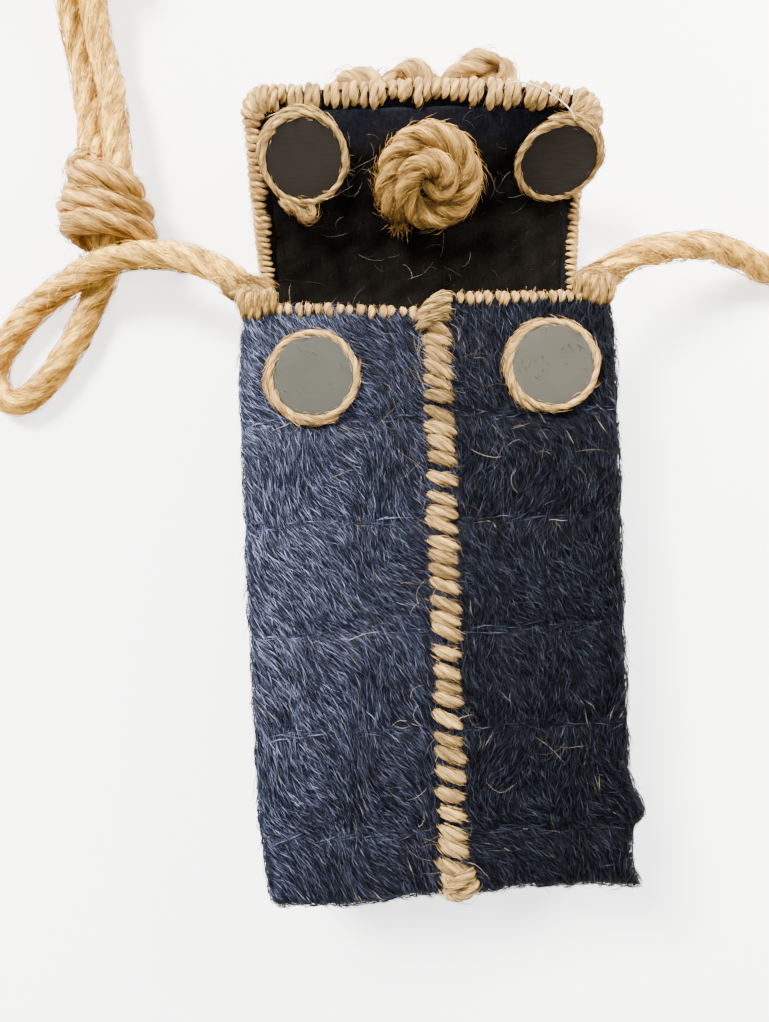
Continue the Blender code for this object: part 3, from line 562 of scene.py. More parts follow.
def nap(rng, points, corners, outside, axes, comb, count, length, width, lift, stray, shade, flatten, pale):
    """Brushed-up fibres over a board's outer faces, which follow them and lie as combed."""
    tree = BVHTree.FromPolygons(points.tolist(), corners.tolist())
    a, b, c = (points[corners[:, k]] for k in range(3))
    faces = np.cross(b - a, c - a)
    area = np.linalg.norm(faces, axis=1)
    out = faces / np.maximum(area, 1e-15)[:, None]
    middle = (a + b + c) / 3
    weight = area * outside(middle, out)
    pick = rng.choice(len(corners), count, p=weight / weight.sum())
    u, v = rng.random((2, count))
    over = u + v > 1
    u, v = np.where(over, 1 - u, u), np.where(over, 1 - v, v)
    roots = a[pick] + (b[pick] - a[pick]) * u[:, None] + (c[pick] - a[pick]) * v[:, None]
    facing = out[pick]
    first, second = (np.array(axis, float) for axis in axes)
    places = np.stack((roots @ first, roots @ second), 1)
    angle = comb(rng, places)
    ahead = np.cos(angle)[:, None] * first + np.sin(angle)[:, None] * second
    ahead = unit(ahead - facing * (ahead * facing).sum(1, keepdims=True))
    aside = np.cross(facing, ahead)
    span = length * rng.uniform(0.55, 1.45, count)
    t = np.linspace(-0.5, 0.5, 3)[None, :, None]
    bend = rng.normal(0, 0.22, count)[:, None, None]
    lines = roots[:, None] + ahead[:, None] * span[:, None, None] * t
    lines = lines + aside[:, None] * bend * span[:, None, None] * t**2
    lines = lines + aside[:, None] * rng.normal(0, 0.02, (count, 3, 1)) * span[:, None, None]
    laid, facings = np.empty_like(lines), np.empty_like(lines)
    for k, place in enumerate(lines.reshape(-1, 3).tolist()):
        near, facing_there, _, _ = tree.find_nearest(place)
        laid.reshape(-1, 3)[k] = near
        facings.reshape(-1, 3)[k] = facing_there
    share = (t[0, :, 0] + 0.5)[None]
    height = lift * rng.uniform(0.05, 1.0, count)[:, None] * np.sin(math.pi * (0.2 + 0.6 * share))
    free = rng.random(count) < stray
    height = height + free[:, None] * rng.uniform(0.5, 2.6, count)[:, None] * lift * share**2
    height = height * flatten(laid) + NAP_CLEAR
    lines = laid + facings * height[..., None]
    lines[..., 2] = np.maximum(lines[..., 2], TABLE_CLEAR)
    # partly painted highlights: most fibres take a dark navy and a few take the pale blue, which stands in
    # for glints on the nap
    glow = rng.beta(0.66, 4.0, count) * 1.4
    tint = mixed(NAVY_DEEP, NAVY_PALE, glow) * shade(roots)[:, None]
    tan = rng.random(count) < pale
    tint[tan] = np.array(LINT_TAN) * rng.uniform(0.15, 0.7, (tan.sum(), 1))
    return threads(lines, width * rng.uniform(0.5, 1.4, count), tint)


def jute_board(
    name, node, seed, grain_size, outside, axes, mean, swing, count, length, shade, relief, ground_shade
):
    """A board with its laid yarn, its nap, and the felt on its inner face.

    outside marks the outer places, axes are the two ways across them, and the nap lies at mean degrees
    from the first of these, give or take swing.
    """
    rng = np.random.default_rng(seed)
    board = board_copy(node, grain_size)
    points, normals, corners = read_mesh(board)
    first, second = (np.array(axis, float) for axis in axes)
    turn = math.radians(mean)
    places = np.stack((points @ first, points @ second), 1)
    along = places @ np.array((math.cos(turn), math.sin(turn)))
    beside = places @ np.array((-math.sin(turn), math.cos(turn)))
    outer = outside(points, normals)
    yarns = ripples(rng, np.stack((along / 7, beside), 1), 3.4 * MM)
    puff = ripples(rng, np.stack((along / 2, beside), 1), 17 * MM)
    caught = caught_share(points)
    rise = outer * (relief * (0.45 * yarns + 0.55 * puff) + 0.3 * relief) * (1 - caught)
    points = points + normals * rise[:, None]
    fold = np.zeros(len(points))
    for fold_y, reach, wide in CORNER_FOLDS:
        fold += reach * np.exp(-(((points[:, 1] - fold_y) / wide) ** 2))
    near_edge = np.clip((points[:, 0] - 53.5 * MM) / (5 * MM), 0, 1)
    near_front = np.clip((points[:, 2] - 26 * MM) / (10 * MM), 0, 1)
    points[:, 0] += fold * near_edge * near_front
    points[:, 2] = np.maximum(points[:, 2], 0.0)
    board.data.vertices.foreach_set("co", points.astype(np.float32).ravel())
    # painted shade: the board under the nap is much darker than the fibres, as the shade between them,
    # lighter on the raised yarns and darker in the hollows
    tints = np.array(NAVY_SHADED_GROUND) * (1.0 + 0.6 * yarns[:, None]) * ground_shade(points)[:, None]
    tints = np.where(outer[:, None] > 0.5, tints, np.array(INNER_BLACK))
    faces = np.array([list(face.vertices) for face in board.data.polygons])
    centre_normals = np.array([face.normal for face in board.data.polygons])
    felt = outside(points[faces].mean(1), centre_normals) < 0.5
    grains = np.stack((along, beside, points[:, 2]), 1)
    none = np.zeros((0, 3), int)
    parts = [(points, faces, none, tints, grains)]
    parts.append(nap(
        rng, points, corners, outside, axes, lambda r, p: combed(r, p, mean, swing, 30 * MM, swing * 0.6),
        count, length, NAP_WIDTH, NAP_LIFT, 0.12, shade,
        lambda p: 1 - 0.75 * caught_share(p.reshape(-1, 3)).reshape(p.shape[:-1]), 0.006,
    ))
    for row in CAUGHT_ROWS if "front" in node else ():
        y = BODY_HEIGHT * (row - 0.5)
        band = lambda p, n, y=y: outside(p, n) * (np.abs(p[:, 1] - y) < 1.6 * MM) * (n[:, 2] > 0.5) + 1e-9
        parts.append(nap(
            rng, points, corners, band, axes, lambda r, p: combed(r, p, 0, 14, 20 * MM, 9),
            CAUGHT_FIBRES, 10 * MM, 0.30 * MM, 0.6 * MM, 0.1, lambda p: shade(p) * 1.1, lambda p: 1.0, 0.03,
        ))
    bpy.data.objects.remove(board)
    made = joined(name, parts, [navy_nap, black_felt])
    slots = np.zeros(len(made.data.polygons), np.int32)
    slots[: len(faces)] = felt
    made.data.polygons.foreach_set("material_index", slots)
    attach(made, "root")
    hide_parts(node)
    return made


def caught_share(points):
    """How far a place is held down by the caught rows of the front: 1 on a row, 0 away from them."""
    held = np.zeros(len(points))
    for row in CAUGHT_ROWS:
        held += np.exp(-(((points[:, 1] - BODY_HEIGHT * (row - 0.5)) / CAUGHT_WIDTH) ** 2))
    return np.clip(held, 0, 1) * (points[:, 2] > BODY_DEPTH - 1.5 * BOARD)


# partly faded dye and partly painted light: how pale the front is across it and up it, in millimetres
FADE_AND_LIGHT_ACROSS = ((-61, 1.14), (-46, 0.92), (-20, 0.55), (1, 0.36), (6, 0.22), (61, 0.135))
FADE_AND_LIGHT_UP = ((-96, 0.62), (-60, 0.80), (0, 0.97), (60, 1.10), (95, 1.2))


def front_fade_and_light(points):
    """The front's colour: paler at the left and the top, darker at the right and the bottom, and darker again
    at the lower left; partly dye faded at the left and partly painted light from the window.
    """
    across = np.interp(points[:, 0] / MM, *zip(*FADE_AND_LIGHT_ACROSS))
    down = np.interp(points[:, 1] / MM, *zip(*FADE_AND_LIGHT_UP))
    low_left = np.clip(-points[:, 0] / (12 * MM), 0, 1) * np.clip((-35 * MM - points[:, 1]) / (30 * MM), 0, 1)
    return across * down * (1 - 0.28 * low_left)


def plain_shade(points, board_factor=1.0):
    """The even dye of the boards that lie in the shade, times a factor for each board."""
    return np.full(len(points), 0.45) * board_factor


X_AXIS, Y_AXIS, Z_AXIS = (1.0, 0.0, 0.0), (0.0, 1.0, 0.0), (0.0, 0.0, 1.0)
for seed, side, mean, swing, count, length in (
    (31, "left", -58, 20, 20000, 8.0 * MM),
    (32, "right", -76, 34, 19000, 7.4 * MM),
):
    jute_board(
        f"front_{side}_cover", f"front_{side}", seed, 1.3 * MM,
        lambda p, n: ((n[:, 2] > -0.4) & (p[:, 2] > BODY_DEPTH - BOARD * 0.95)).astype(float),
        (X_AXIS, Y_AXIS), mean, swing, count, length, front_fade_and_light, 0.55 * MM, front_fade_and_light,
    )
jute_board(
    "side_left_cover", "side_left", 33, 1.6 * MM, lambda p, n: (n[:, 0] < 0.3).astype(float),
    (Y_AXIS, Z_AXIS), 160, 18, 3600, 11 * MM, plain_shade, 0.4 * MM, plain_shade,
)
jute_board(
    "side_right_cover", "side_right", 34, 1.6 * MM, lambda p, n: (n[:, 0] > -0.3).astype(float),
    (Y_AXIS, Z_AXIS), 200, 18, 3600, 11 * MM, lambda p: plain_shade(p, 0.6), 0.4 * MM, plain_shade,
)
jute_board(
    "base_cover", "base_board", 35, 1.4 * MM, lambda p, n: (n[:, 1] < 0.3).astype(float),
    (X_AXIS, Z_AXIS), -70, 18, 2600, 10 * MM, lambda p: plain_shade(p, 0.8), 0.4 * MM, plain_shade,
)
jute_board(
    "back_and_flap_cover", "back_and_flap", 36, 2.2 * MM, lambda p, n: (n[:, 2] < 0.25).astype(float),
    (X_AXIS, Y_AXIS), -80, 18, 5000, 12 * MM, plain_shade, 0.25 * MM, plain_shade,
)


# The seam down the front: thick three-ply jute sewn over and over through both halves, its slanting
# stitches close together in places and drawn apart in others, with a lump of crossed ones at each end.
SEAM_AT_MOUTH = 3.7 * MM
SEAM_AT_BASE = 1.0 * MM
SEAM_HALF = 4.6 * MM
SEAM_YARN = 1.95 * MM
SEAM_STITCHES = 36
SEAM_OPENINGS = (
    # where the stitches are drawn apart, as shares of the way down
    0.175, 0.273, 0.297, 0.393, 0.497, 0.567, 0.60, 0.676, 0.712, 0.782, 0.82, 0.846, 0.88, 0.929,
)
SEAM_OPENING = 1.9 * MM
SEAM_TONES = ((0.034, 0.018, 0.008), (0.47, 0.305, 0.112))
END_STITCHES = (
    ((-3.0, 89.6, 44.6), (-0.4, 91.6, 47.6), (3.4, 94.0, 48.2), (7.2, 96.0, 46.6), (8.6, 96.8, 44.0)),
    ((-1.6, 91.8, 44.8), (1.6, 93.8, 48.0), (4.8, 95.6, 47.6), (7.2, 97.2, 45.4), (8.0, 97.4, 42.5)),
    ((-3.4, 86.4, 44.6), (0.0, 89.0, 47.4), (3.6, 91.0, 48.0), (7.0, 93.2, 46.2), (8.2, 94.2, 44.0)),
    ((-1.8, -94.0, 44.6), (0.0, -91.6, 47.6), (3.2, -89.6, 48.0), (6.4, -88.0, 46.6), (7.4, -87.0, 44.6)),
    ((-3.4, -92.6, 44.0), (0.5, -95.0, 46.6), (4.5, -94.2, 47.6), (7.4, -91.5, 46.4), (7.8, -90.0, 44.2)),
)

bare_jute = fibre_finish("bare_jute", (260.0, 2600.0, 2600.0), 0.72, 0.75, 0.1, 1.0)


def seam_x(y):
    """How far right of the middle the seam lies at y."""
    return SEAM_AT_BASE + (SEAM_AT_MOUTH - SEAM_AT_BASE) * (y / BODY_HEIGHT + 0.5)


def loose_hairs(rng, places, facing, longest, tones):
    """Fine loose hairs lying over a surface, each in its own wandering curl."""
    count, steps = len(places), 8
    ahead = unit(np.cross(facing, rng.normal(size=(count, 3))))
    aside = np.cross(facing, ahead)
    bend = np.cumsum(rng.normal(0, 0.16, (count, steps)) + rng.normal(0, 0.20, (count, 1)), axis=1)
    step = (rng.uniform(0.35, 1.0, count) * longest / steps)[:, None, None]
    moves = ahead[:, None] * np.cos(bend)[..., None] + aside[:, None] * np.sin(bend)[..., None]
    arch = np.sin(np.linspace(0.0, math.pi, steps))[None, :, None]
    off = arch * rng.uniform(0.3, 1.5, (count, 1, 1)) * MM
    lines = places[:, None] + np.cumsum(moves * step, axis=1) + facing[:, None] * off
    return threads(lines, rng.uniform(0.07, 0.13, count) * MM, mixed(*tones, rng.random(count)))


HAIR_TONES = ((0.12, 0.09, 0.06), (0.46, 0.39, 0.30))
HAIR_SPOTS = (
    # across, up, spread, how many: where loose hairs lie on the front
    (2.0, 78.0, 7.0, 16), (2.0, 40.0, 6.0, 10), (2.0, 0.0, 6.0, 12), (2.0, -45.0, 6.0, 10),
    (0.0, -84.0, 6.0, 10), (-36.0, 62.0, 13.0, 14), (36.0, 62.0, 13.0, 16), (40.0, 20.0, 16.0, 5),
    (-34.0, -20.0, 20.0, 5), (30.0, -45.0, 18.0, 6),
)

rng = np.random.default_rng(41)
parts = []
seam_half_length = 0.5 * BODY_HEIGHT - 2 * MM
pitch = (2 * seam_half_length - SEAM_OPENING * len(SEAM_OPENINGS)) / SEAM_STITCHES
y = seam_half_length - pitch / 2
for _ in range(SEAM_STITCHES):
    share = 0.5 - y / (2 * seam_half_length)
    thick = SEAM_YARN * rng.uniform(0.74, 1.08)
    slant = rng.uniform(1.1, 3.2) * MM
    half = SEAM_HALF * rng.uniform(0.9, 1.12)
    x = seam_x(y) + rng.normal(0, 0.25) * MM
    floor = BODY_DEPTH
    stations = (
        (-half - 0.5 * MM, slant, floor - 1.6 * MM),
        (-half * 0.86, slant * 0.8, floor + 0.3 * MM),
        (-half * 0.45, slant * 0.4, floor + 1.25 * MM),
        (0.0, 0.0, floor + 1.5 * MM),
        (half * 0.45, -slant * 0.4, floor + 1.25 * MM),
        (half * 0.86, -slant * 0.8, floor + 0.3 * MM),
        (half + 0.5 * MM, -slant, floor - 1.6 * MM),
    )
    laid = lay(smooth_route([(x + dx, y + dy, z) for dx, dy, z in stations], 0.75 * MM), Y_AXIS)
    tones = [np.array(tone) * rng.uniform(0.62, 1.35) for tone in SEAM_TONES]
    twist = rng.uniform(22, 34) * MM
    parts.append(spun(rng, laid, thick, 3, twist, 15, 0.42, flat=0.74, blunt=False, tones=tones, taper=2.2))
    parts.append(fuzz(rng, laid, thick, 60, 6 * MM, 0.18 * MM, 0.6 * MM, 0.35, 30 * MM, tones, flat=0.75))
    step = pitch * rng.uniform(0.9, 1.1)
    for place in SEAM_OPENINGS:
        if share < place <= 0.5 - (y - step) / (2 * seam_half_length):
            step += SEAM_OPENING
    y -= step
hair_places = np.concatenate([
    rng.normal((x, y, 0.0), (spread, spread, 0.0), (count, 3)) for x, y, spread, count in HAIR_SPOTS
]) * MM
hair_places[:, 2] = BODY_DEPTH + 1.2 * MM
hair_places[:, 0] = np.clip(hair_places[:, 0], -54 * MM, 54 * MM)
hair_places[:, 1] = np.clip(hair_places[:, 1], -89 * MM, 89 * MM)
hair_facing = np.tile(Z_AXIS, (len(hair_places), 1))
parts.append(loose_hairs(rng, hair_places, hair_facing, 17 * MM, HAIR_TONES))
for stations in END_STITCHES:
    laid = lay(smooth_route([tuple(v * MM for v in place) for place in stations], 0.8 * MM))
    thick = SEAM_YARN * 0.95
    parts.append(spun(rng, laid, thick, 3, 14 * MM, 14, 0.42, blunt=False, tones=SEAM_TONES))
    parts.append(fuzz(rng, laid, thick, 60, 6 * MM, 0.26 * MM, 0.7 * MM, 0.3, 30 * MM, SEAM_TONES))
front_seam = joined("front_seam_stitches", parts, [bare_jute])
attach(front_seam, "root")
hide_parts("front_seam")


# The overcast edges of the mouth: a finer natural yarn sewn over the edge of each front panel and
# down the edge of each side, a stitch about every three millimetres, with navy between them.
SIDE_OUTLINE = (
    # at, left, right
    (0.00, 0.950, 0.985), (0.04, 0.970, 0.957), (0.09, 0.985, 0.970), (0.12, 0.993, 1.000),
    (0.16, 1.000, 0.975), (0.50, 1.000, 0.980), (0.80, 1.000, 0.995), (0.93, 0.990, 0.998),
    (1.00, 0.945, 0.965),
)
MOUTH_OUTLINE = (
    # at, left, right
    (0.00, -0.022, -0.008), (0.12, -0.020, 0.003), (0.40, -0.012, -0.001), (0.75, -0.004, -0.002),
    (1.00, 0.004, -0.007),
)
STITCH_YARN = 1.2 * MM
STITCH_PITCH = 3.0 * MM
# how deep the far side is sewn, then how far the yarn stands off the near and the far face
MOUTH_SEWN = (3.5 * MM, 0.3 * MM, 0.1 * MM)
SIDE_STITCHES = 11
SIDE_STITCH_PITCH = 3.3 * MM
EDGE_TONES = ((0.10, 0.050, 0.017), (0.59, 0.375, 0.130))


def read_table(table, at, column):
    """A table's value at a share of the way through it."""
    return float(np.interp(at, [row[0] for row in table], [row[column] for row in table]))


def half_width(side, y):
    """How far the pouch's left or right side stands from its middle at y."""
    at = min(max(y / BODY_HEIGHT + 0.5, 0.0), 1.0)
    return BODY_WIDTH / 2 * read_table(SIDE_OUTLINE, at, 1 if side < 0 else 2)


def mouth_line(side, share):
    """How far up the mouth's edge lies at a share of the way from the seam to a side."""
    return BODY_HEIGHT * (0.5 + read_table(MOUTH_OUTLINE, share, 1 if side < 0 else 2))


def over_edge(rng, place, out, up, along, near, far, cover_near, cover_far, slant, yarn, tones, clear=0.0):
    """One overcast stitch: out of the near face, over the edge and into the far face.

    The place is on the edge, halfway through the board; near and far are how deep it is sewn from the edge.
    """
    out, up, along, place = (np.array(v, float) for v in (out, up, along, place))
    rise, fall = BOARD / 2 + cover_near, BOARD / 2 + cover_far
    stations = (
        (rise - 1.4 * yarn, -near - 0.9 * yarn, 0.5),
        (rise + 0.35 * yarn, -near + 0.3 * yarn, 0.42),
        (rise + 0.8 * yarn, -near * 0.5, 0.25),
        (rise * 0.9 + 0.55 * yarn, 0.1 * yarn, 0.08),
        (0.0, 0.95 * yarn, 0.0),
        (-fall * 0.9 - 0.55 * yarn, 0.1 * yarn, -0.08),
        (-fall - 0.7 * yarn, -far * 0.5, -0.25),
        (-fall - 0.2 * yarn, -far + 0.3 * yarn, -0.42),
        (-fall + 1.4 * yarn, -far - 0.9 * yarn, -0.5),
    )
    route = [place + up * n + out * e + along * slant * k for n, e, k in stations]
    if clear:
        route = [np.array((p[0], p[1], max(p[2], clear))) for p in route]
    laid = lay(smooth_route(route, 0.95 * MM), along)
    own = [np.array(tone) * rng.uniform(0.8, 1.2) for tone in tones]
    twist = rng.uniform(8, 11) * MM
    return [
        spun(rng, laid, yarn, 2, twist, 9, 0.4, flat=0.85, blunt=False, tones=own, taper=2.6),
        fuzz(rng, laid, yarn, 24, 5.5 * MM, 0.17 * MM, 0.7 * MM, 0.5, 30 * MM, own, flat=0.85),
    ]


for side, place_name in ((-1, "left"), (1, "right")):
    rng = np.random.default_rng(51 + side)
    parts = []
    middle = BODY_DEPTH - BOARD / 2
    wide = half_width(side, 95 * MM) - 2 * MM
    start = 0.09 if side < 0 else 0.12
    count = int(wide * (0.97 - start) / STITCH_PITCH)
    for k in range(count):
        share = start + (0.97 - start) * (k + 0.5 + rng.normal(0, 0.1)) / count
        y = mouth_line(side, share)
        seam = seam_x(y)
        x = seam + share * (side * half_width(side, y) - seam)
        near = rng.uniform(1.2, 2.7) * MM
        slant = rng.uniform(-0.6, 1.0) * MM
        parts += over_edge(
            rng, (x, y + 0.5 * MM, middle), Y_AXIS, Z_AXIS, X_AXIS, near, *MOUTH_SEWN,
            slant, STITCH_YARN * rng.uniform(0.85, 1.15), EDGE_TONES,
        )
    y = mouth_line(side, 1.0)
    for k in range(SIDE_STITCHES):
        z = BODY_DEPTH - 2 * MM - (k + 0.5) * SIDE_STITCH_PITCH
        x = side * (half_width(side, y) - BOARD / 2)
        near = rng.uniform(3.2, 4.4) * MM
        slant = rng.uniform(-0.8, 0.8) * MM
        parts += over_edge(
            rng, (x, y, z), Y_AXIS, (side, 0.0, 0.0), Z_AXIS, near, *MOUTH_SEWN,
            slant, STITCH_YARN, EDGE_TONES,
        )
    mouth = joined(f"mouth_stitches_{place_name}", parts, [bare_jute])
    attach(mouth, "root")
    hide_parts(f"mouth_binding_{place_name}")


# The rope's ends at the mouth's corners: each rope is opened out into fingers of yarn, which are
# sewn down over the corner and lap onto the navy.
FINGERS = {
    "left": (-1, LEFT_START, ((-58.6, 94.6), (-56.2, 93.4), (-53.8, 93.2), (-51.2, 94.4), (-48.8, 95.4)), 51),
    "right": (1, RIGHT_START, ((59.6, 93.8), (57.0, 93.0), (54.4, 93.8), (51.8, 94.8), (49.4, 95.6)), 52),
}
FINGER_YARN = 1.45 * MM
BUNDLE_YARN = 4.6 * MM
FINGER_TONES = ((0.085, 0.040, 0.011), (0.48, 0.290, 0.082))

for where, (side, start, tips, seed) in FINGERS.items():
    rng = np.random.default_rng(seed)
    parts = []
    out_x, out_y, out_z = (v / MM for v in start)
    for number, (tip_x, tip_y) in enumerate(tips):
        fan = (number - 2) / 2
        route = (
            (out_x + side * 6, out_y + 3 - 1.2 * number, out_z + 1.2 * (number - 2)),
            (out_x + side, out_y - 0.5 * number, out_z + 3 + 0.8 * number),
            ((out_x + 2 * tip_x) / 3, 102.0 - 0.4 * number, 42.5),
            (tip_x, tip_y + 5.6, 46.8),
            (tip_x, tip_y + 1.2, 46.6),
            (tip_x + 0.4 * fan, tip_y - 1.6, 44.0),
        )
        laid = lay(smooth_route([tuple(v * MM for v in place) for place in route], 0.9 * MM))
        yarn = FINGER_YARN * rng.uniform(0.85, 1.15)
        parts.append(spun(rng, laid, yarn, 2, 12 * MM, 12, 0.4, blunt=False, tones=FINGER_TONES, taper=2.4))
        parts.append(fuzz(rng, laid, yarn, 90, 7 * MM, 0.28 * MM, 0.7 * MM, 0.3, 50 * MM, FINGER_TONES))
    bundle = (
        (out_x + side * 10, out_y + 5, out_z - 1),
        (out_x, out_y, out_z),
        (out_x - side * 4, out_y - 1.5, out_z + 1),
        (out_x - side * 8, out_y - 3.5, out_z - 1),
    )
    laid = lay(smooth_route([tuple(v * MM for v in place) for place in bundle], 1.0 * MM))
    parts.append(spun(rng, laid, BUNDLE_YARN, 5, 50 * MM, 26, 0.25, tones=FINGER_TONES))
    parts.append(fuzz(rng, laid, BUNDLE_YARN, 260, 8 * MM, 0.3 * MM, 0.9 * MM, 0.3, 80 * MM, FINGER_TONES))
    stay = joined(f"rope_end_{where}", parts, [rope_jute])
    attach(stay, "root")
    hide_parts(f"rope_stay_{where}")


# The flap's inner face: black felt glued over the board, from inside the pouch to the overcast edge,
# dusty with lint and loose fibres.
FLAP_LENGTH = 84.5 * MM
FLAP_WIDTH = 116 * MM
FLAP_CORNER = 7 * MM
FLAP_SWAY = 3 * MM
FLAP_BEND_ACROSS = 1.6
LINING = 1 * MM
GAP = 0.3 * MM
MOUTH_Y = BODY_HEIGHT / 2
FLAP_PROFILE = (
    # at, left, middle, right: the slope in degrees
    (0.00, 3, 3, 8), (0.12, 6, 6, 11), (0.25, 30, 21, 5), (0.45, 40, 34, 5),
    (0.53, 39, 36, 20), (0.60, 38, 38, 58), (0.80, 36, 38, 62), (1.00, 31, 36, 62),
)
FELT_BLACK = (0.0034, 0.0030, 0.0025)
# painted light: the felt's navy tint towards the flap's free edge, and where it starts
FELT_LIT_BLUE = (0.0085, 0.0090, 0.0150)
LIT_FROM = 150 * MM
LINT_COUNT = 190
LINT_TONES = ((0.012, 0.012, 0.012), (0.11, 0.10, 0.085))


def flap_slope(x, s):
    """The flap's slope, in radians, at x across and s along it from the hinge."""
    at = np.clip(s / FLAP_LENGTH, 0.0, 1.0)
    shares, left, middle, right = zip(*FLAP_PROFILE)
    centre = np.interp(at, shares, middle)
    edge = np.interp(at, shares, left if x < 0 else right)
    across = min(abs(x) / (FLAP_WIDTH / 2), 1.1) ** FLAP_BEND_ACROSS
    return np.radians(centre + (edge - centre) * across)


def flap_under(x, s):
    """The point of the open flap's under face at x across and s along it from the hinge."""
    if s <= 0:
        return np.array((x, MOUTH_Y + s, 0.0))
    slopes = flap_slope(x, (np.arange(48) + 0.5) / 48 * s)
    y = MOUTH_Y + s * np.cos(slopes).mean()
    return np.array((x + FLAP_SWAY * s / FLAP_LENGTH, y, s * np.sin(slopes).mean()))


def flap_normal(x, s):
    """The way that the flap's inner face looks."""
    if s <= 0:
        return np.array(Z_AXIS)
    reach = 0.5 * MM
    across = flap_under(x + reach, s) - flap_under(x - reach, s)
    along = flap_under(x, s + reach) - flap_under(x, max(s - reach, 0.0))
    return unit(np.cross(across, along))


def flap_point(x, s, h):
    """A point h above the flap's under face; its felt starts at the board's thickness."""
    return flap_under(x, s) + flap_normal(x, s) * h


bpy.ops.object.select_all(action="DESELECT")
felt = bpy.data.objects.new("flap_felt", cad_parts["flap_lining"].data.copy())
bpy.context.scene.collection.objects.link(felt)
felt.select_set(True)
bpy.context.view_layer.objects.active = felt
bpy.ops.object.mode_set(mode="EDIT")
bpy.ops.mesh.select_all(action="SELECT")
bpy.ops.mesh.remove_doubles(threshold=MERGED)
bpy.ops.mesh.subdivide(number_cuts=4)
bpy.ops.object.mode_set(mode="OBJECT")
rng = np.random.default_rng(61)
points, normals, corners = read_mesh(felt)
rumple = ripples(rng, points, 14 * MM) * 0.22 * MM + ripples(rng, points, 4 * MM) * 0.07 * MM
points = points + normals * rumple[:, None]
tints = np.array(FELT_BLACK) * (1 + 0.5 * ripples(rng, points, 10 * MM)[:, None])
# painted light: the felt turns navy towards the flap's free edge, where the light strikes it
lit_share = np.clip((points[:, 1] - LIT_FROM) / (12 * MM), 0, 1)[:, None]
tints = tints * (1 - lit_share) + np.array(FELT_LIT_BLUE) * lit_share
pick = rng.choice(len(corners), LINT_COUNT * 3)
middles = points[corners[pick]].mean(1)
a, b, c = (points[corners[pick, k]] for k in range(3))
facing = unit(np.cross(b - a, c - a))
seen = np.where(facing[:, 2] > 0.3)[0][:LINT_COUNT]
middles, facing = middles[seen], facing[seen]
ways = unit(np.cross(facing, rng.normal(size=middles.shape)))
asides = np.cross(facing, ways)
t = np.linspace(-0.5, 0.5, 6)[None, :, None]
span = (rng.gamma(2.0, 1.6, len(seen)) * MM)[:, None, None]
curl = rng.normal(0, 0.9, len(seen))[:, None, None]
lines = middles[:, None] + ways[:, None] * span * t + asides[:, None] * curl * span * t**2
off = 0.12 * MM + 0.5 * MM * rng.random((len(seen), 1, 1)) * (t + 0.5) ** 2
lines = lines + facing[:, None] * off
lint = mixed(*LINT_TONES, rng.beta(0.9, 3.0, len(seen)))
felt_faces = np.array([list(face.vertices) for face in felt.data.polygons])
bpy.data.objects.remove(felt)
flap_felt = joined("flap_felt", [
    (points, np.zeros((0, 4), int), felt_faces, tints, points),
    threads(lines, rng.uniform(0.08, 0.17, len(seen)) * MM, lint),
], [black_felt])
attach(flap_felt, "root")
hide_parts("flap_lining")


# The flap's overcast edge: the same natural yarn, thicker and closer, sewn over all three free edges,
# with a fuller turn at the corners.
FLAP_YARN = 1.4 * MM
FLAP_PITCH = 2.95 * MM
SIDE_PITCH = 2.3 * MM
BINDING_START = 13 * MM
LOOSE_THREAD = (
    # a white sewing thread caught in the edge and lying across the flap's right corner, in millimetres
    (28.6, 163.6, 44.4), (31.0, 164.2, 46.8), (36.0, 162.9, 48.0), (41.0, 160.6, 47.9),
    (46.2, 157.2, 47.4), (49.8, 154.0, 46.4), (51.2, 152.2, 44.6),
)
FLAP_SPOTS = (
    # across, along, spread, how many: where loose hairs lie on the felt
    (-22.0, 62.0, 5.0, 20), (-8.0, 34.0, 14.0, 7), (30.0, 52.0, 8.0, 10), (0.0, 15.0, 16.0, 6),
)
FLAP_TONES = ((0.11, 0.055, 0.018), (0.64, 0.405, 0.140))
FELT_HAIR_TONES = ((0.035, 0.032, 0.028), (0.36, 0.32, 0.26))
THREAD_TONES = ((0.50, 0.46, 0.38), (0.92, 0.90, 0.84))

rng = np.random.default_rng(71)
parts = []
wide, straight = FLAP_WIDTH / 2, FLAP_LENGTH - FLAP_CORNER


def flap_stitch(x, s, out_x, out_s, near, far, slant, yarn):
    """One stitch over the flap's edge, which faces out_x across and out_s along it."""
    place = flap_point(x, s, BOARD / 2)
    up = flap_normal(x, s)
    across = unit(flap_under(x + MM, s) - flap_under(x - MM, s))
    along = np.cross(up, across)
    out = unit(across * out_x + along * out_s)
    edge = np.cross(up, out)
    cover = (LINING * 0.55, GAP)
    return over_edge(rng, place, out, up, edge, near, far, *cover, slant, yarn, FLAP_TONES, clear=1.2 * MM)


for side in (-1, 1):
    count = int((straight - BINDING_START) / SIDE_PITCH)
    for k in range(count):
        s = BINDING_START + (straight - BINDING_START) * (k + 0.5) / count
        near = rng.uniform(1.2, 2.4) if side > 0 else rng.uniform(2.4, 3.8)
        slant = rng.uniform(0.8, 2.0) * MM
        yarn = FLAP_YARN * 0.86 * rng.uniform(0.88, 1.12)
        parts += flap_stitch(side * wide, s, side, 0.0, near * MM, 3 * MM, slant, yarn)
    for turn in (12, 30, 48, 66, 84):
        out_x, out_s = side * math.cos(math.radians(turn)), math.sin(math.radians(turn))
        x = side * (wide - FLAP_CORNER) + FLAP_CORNER * out_x
        s = straight + FLAP_CORNER * out_s
        yarn = FLAP_YARN * (1.35 if side > 0 else 1.12)
        parts += flap_stitch(x, s, out_x, out_s, 4.6 * MM, 4 * MM, 0.4 * MM, yarn)
inner = wide - FLAP_CORNER
count = int(2 * inner / FLAP_PITCH)
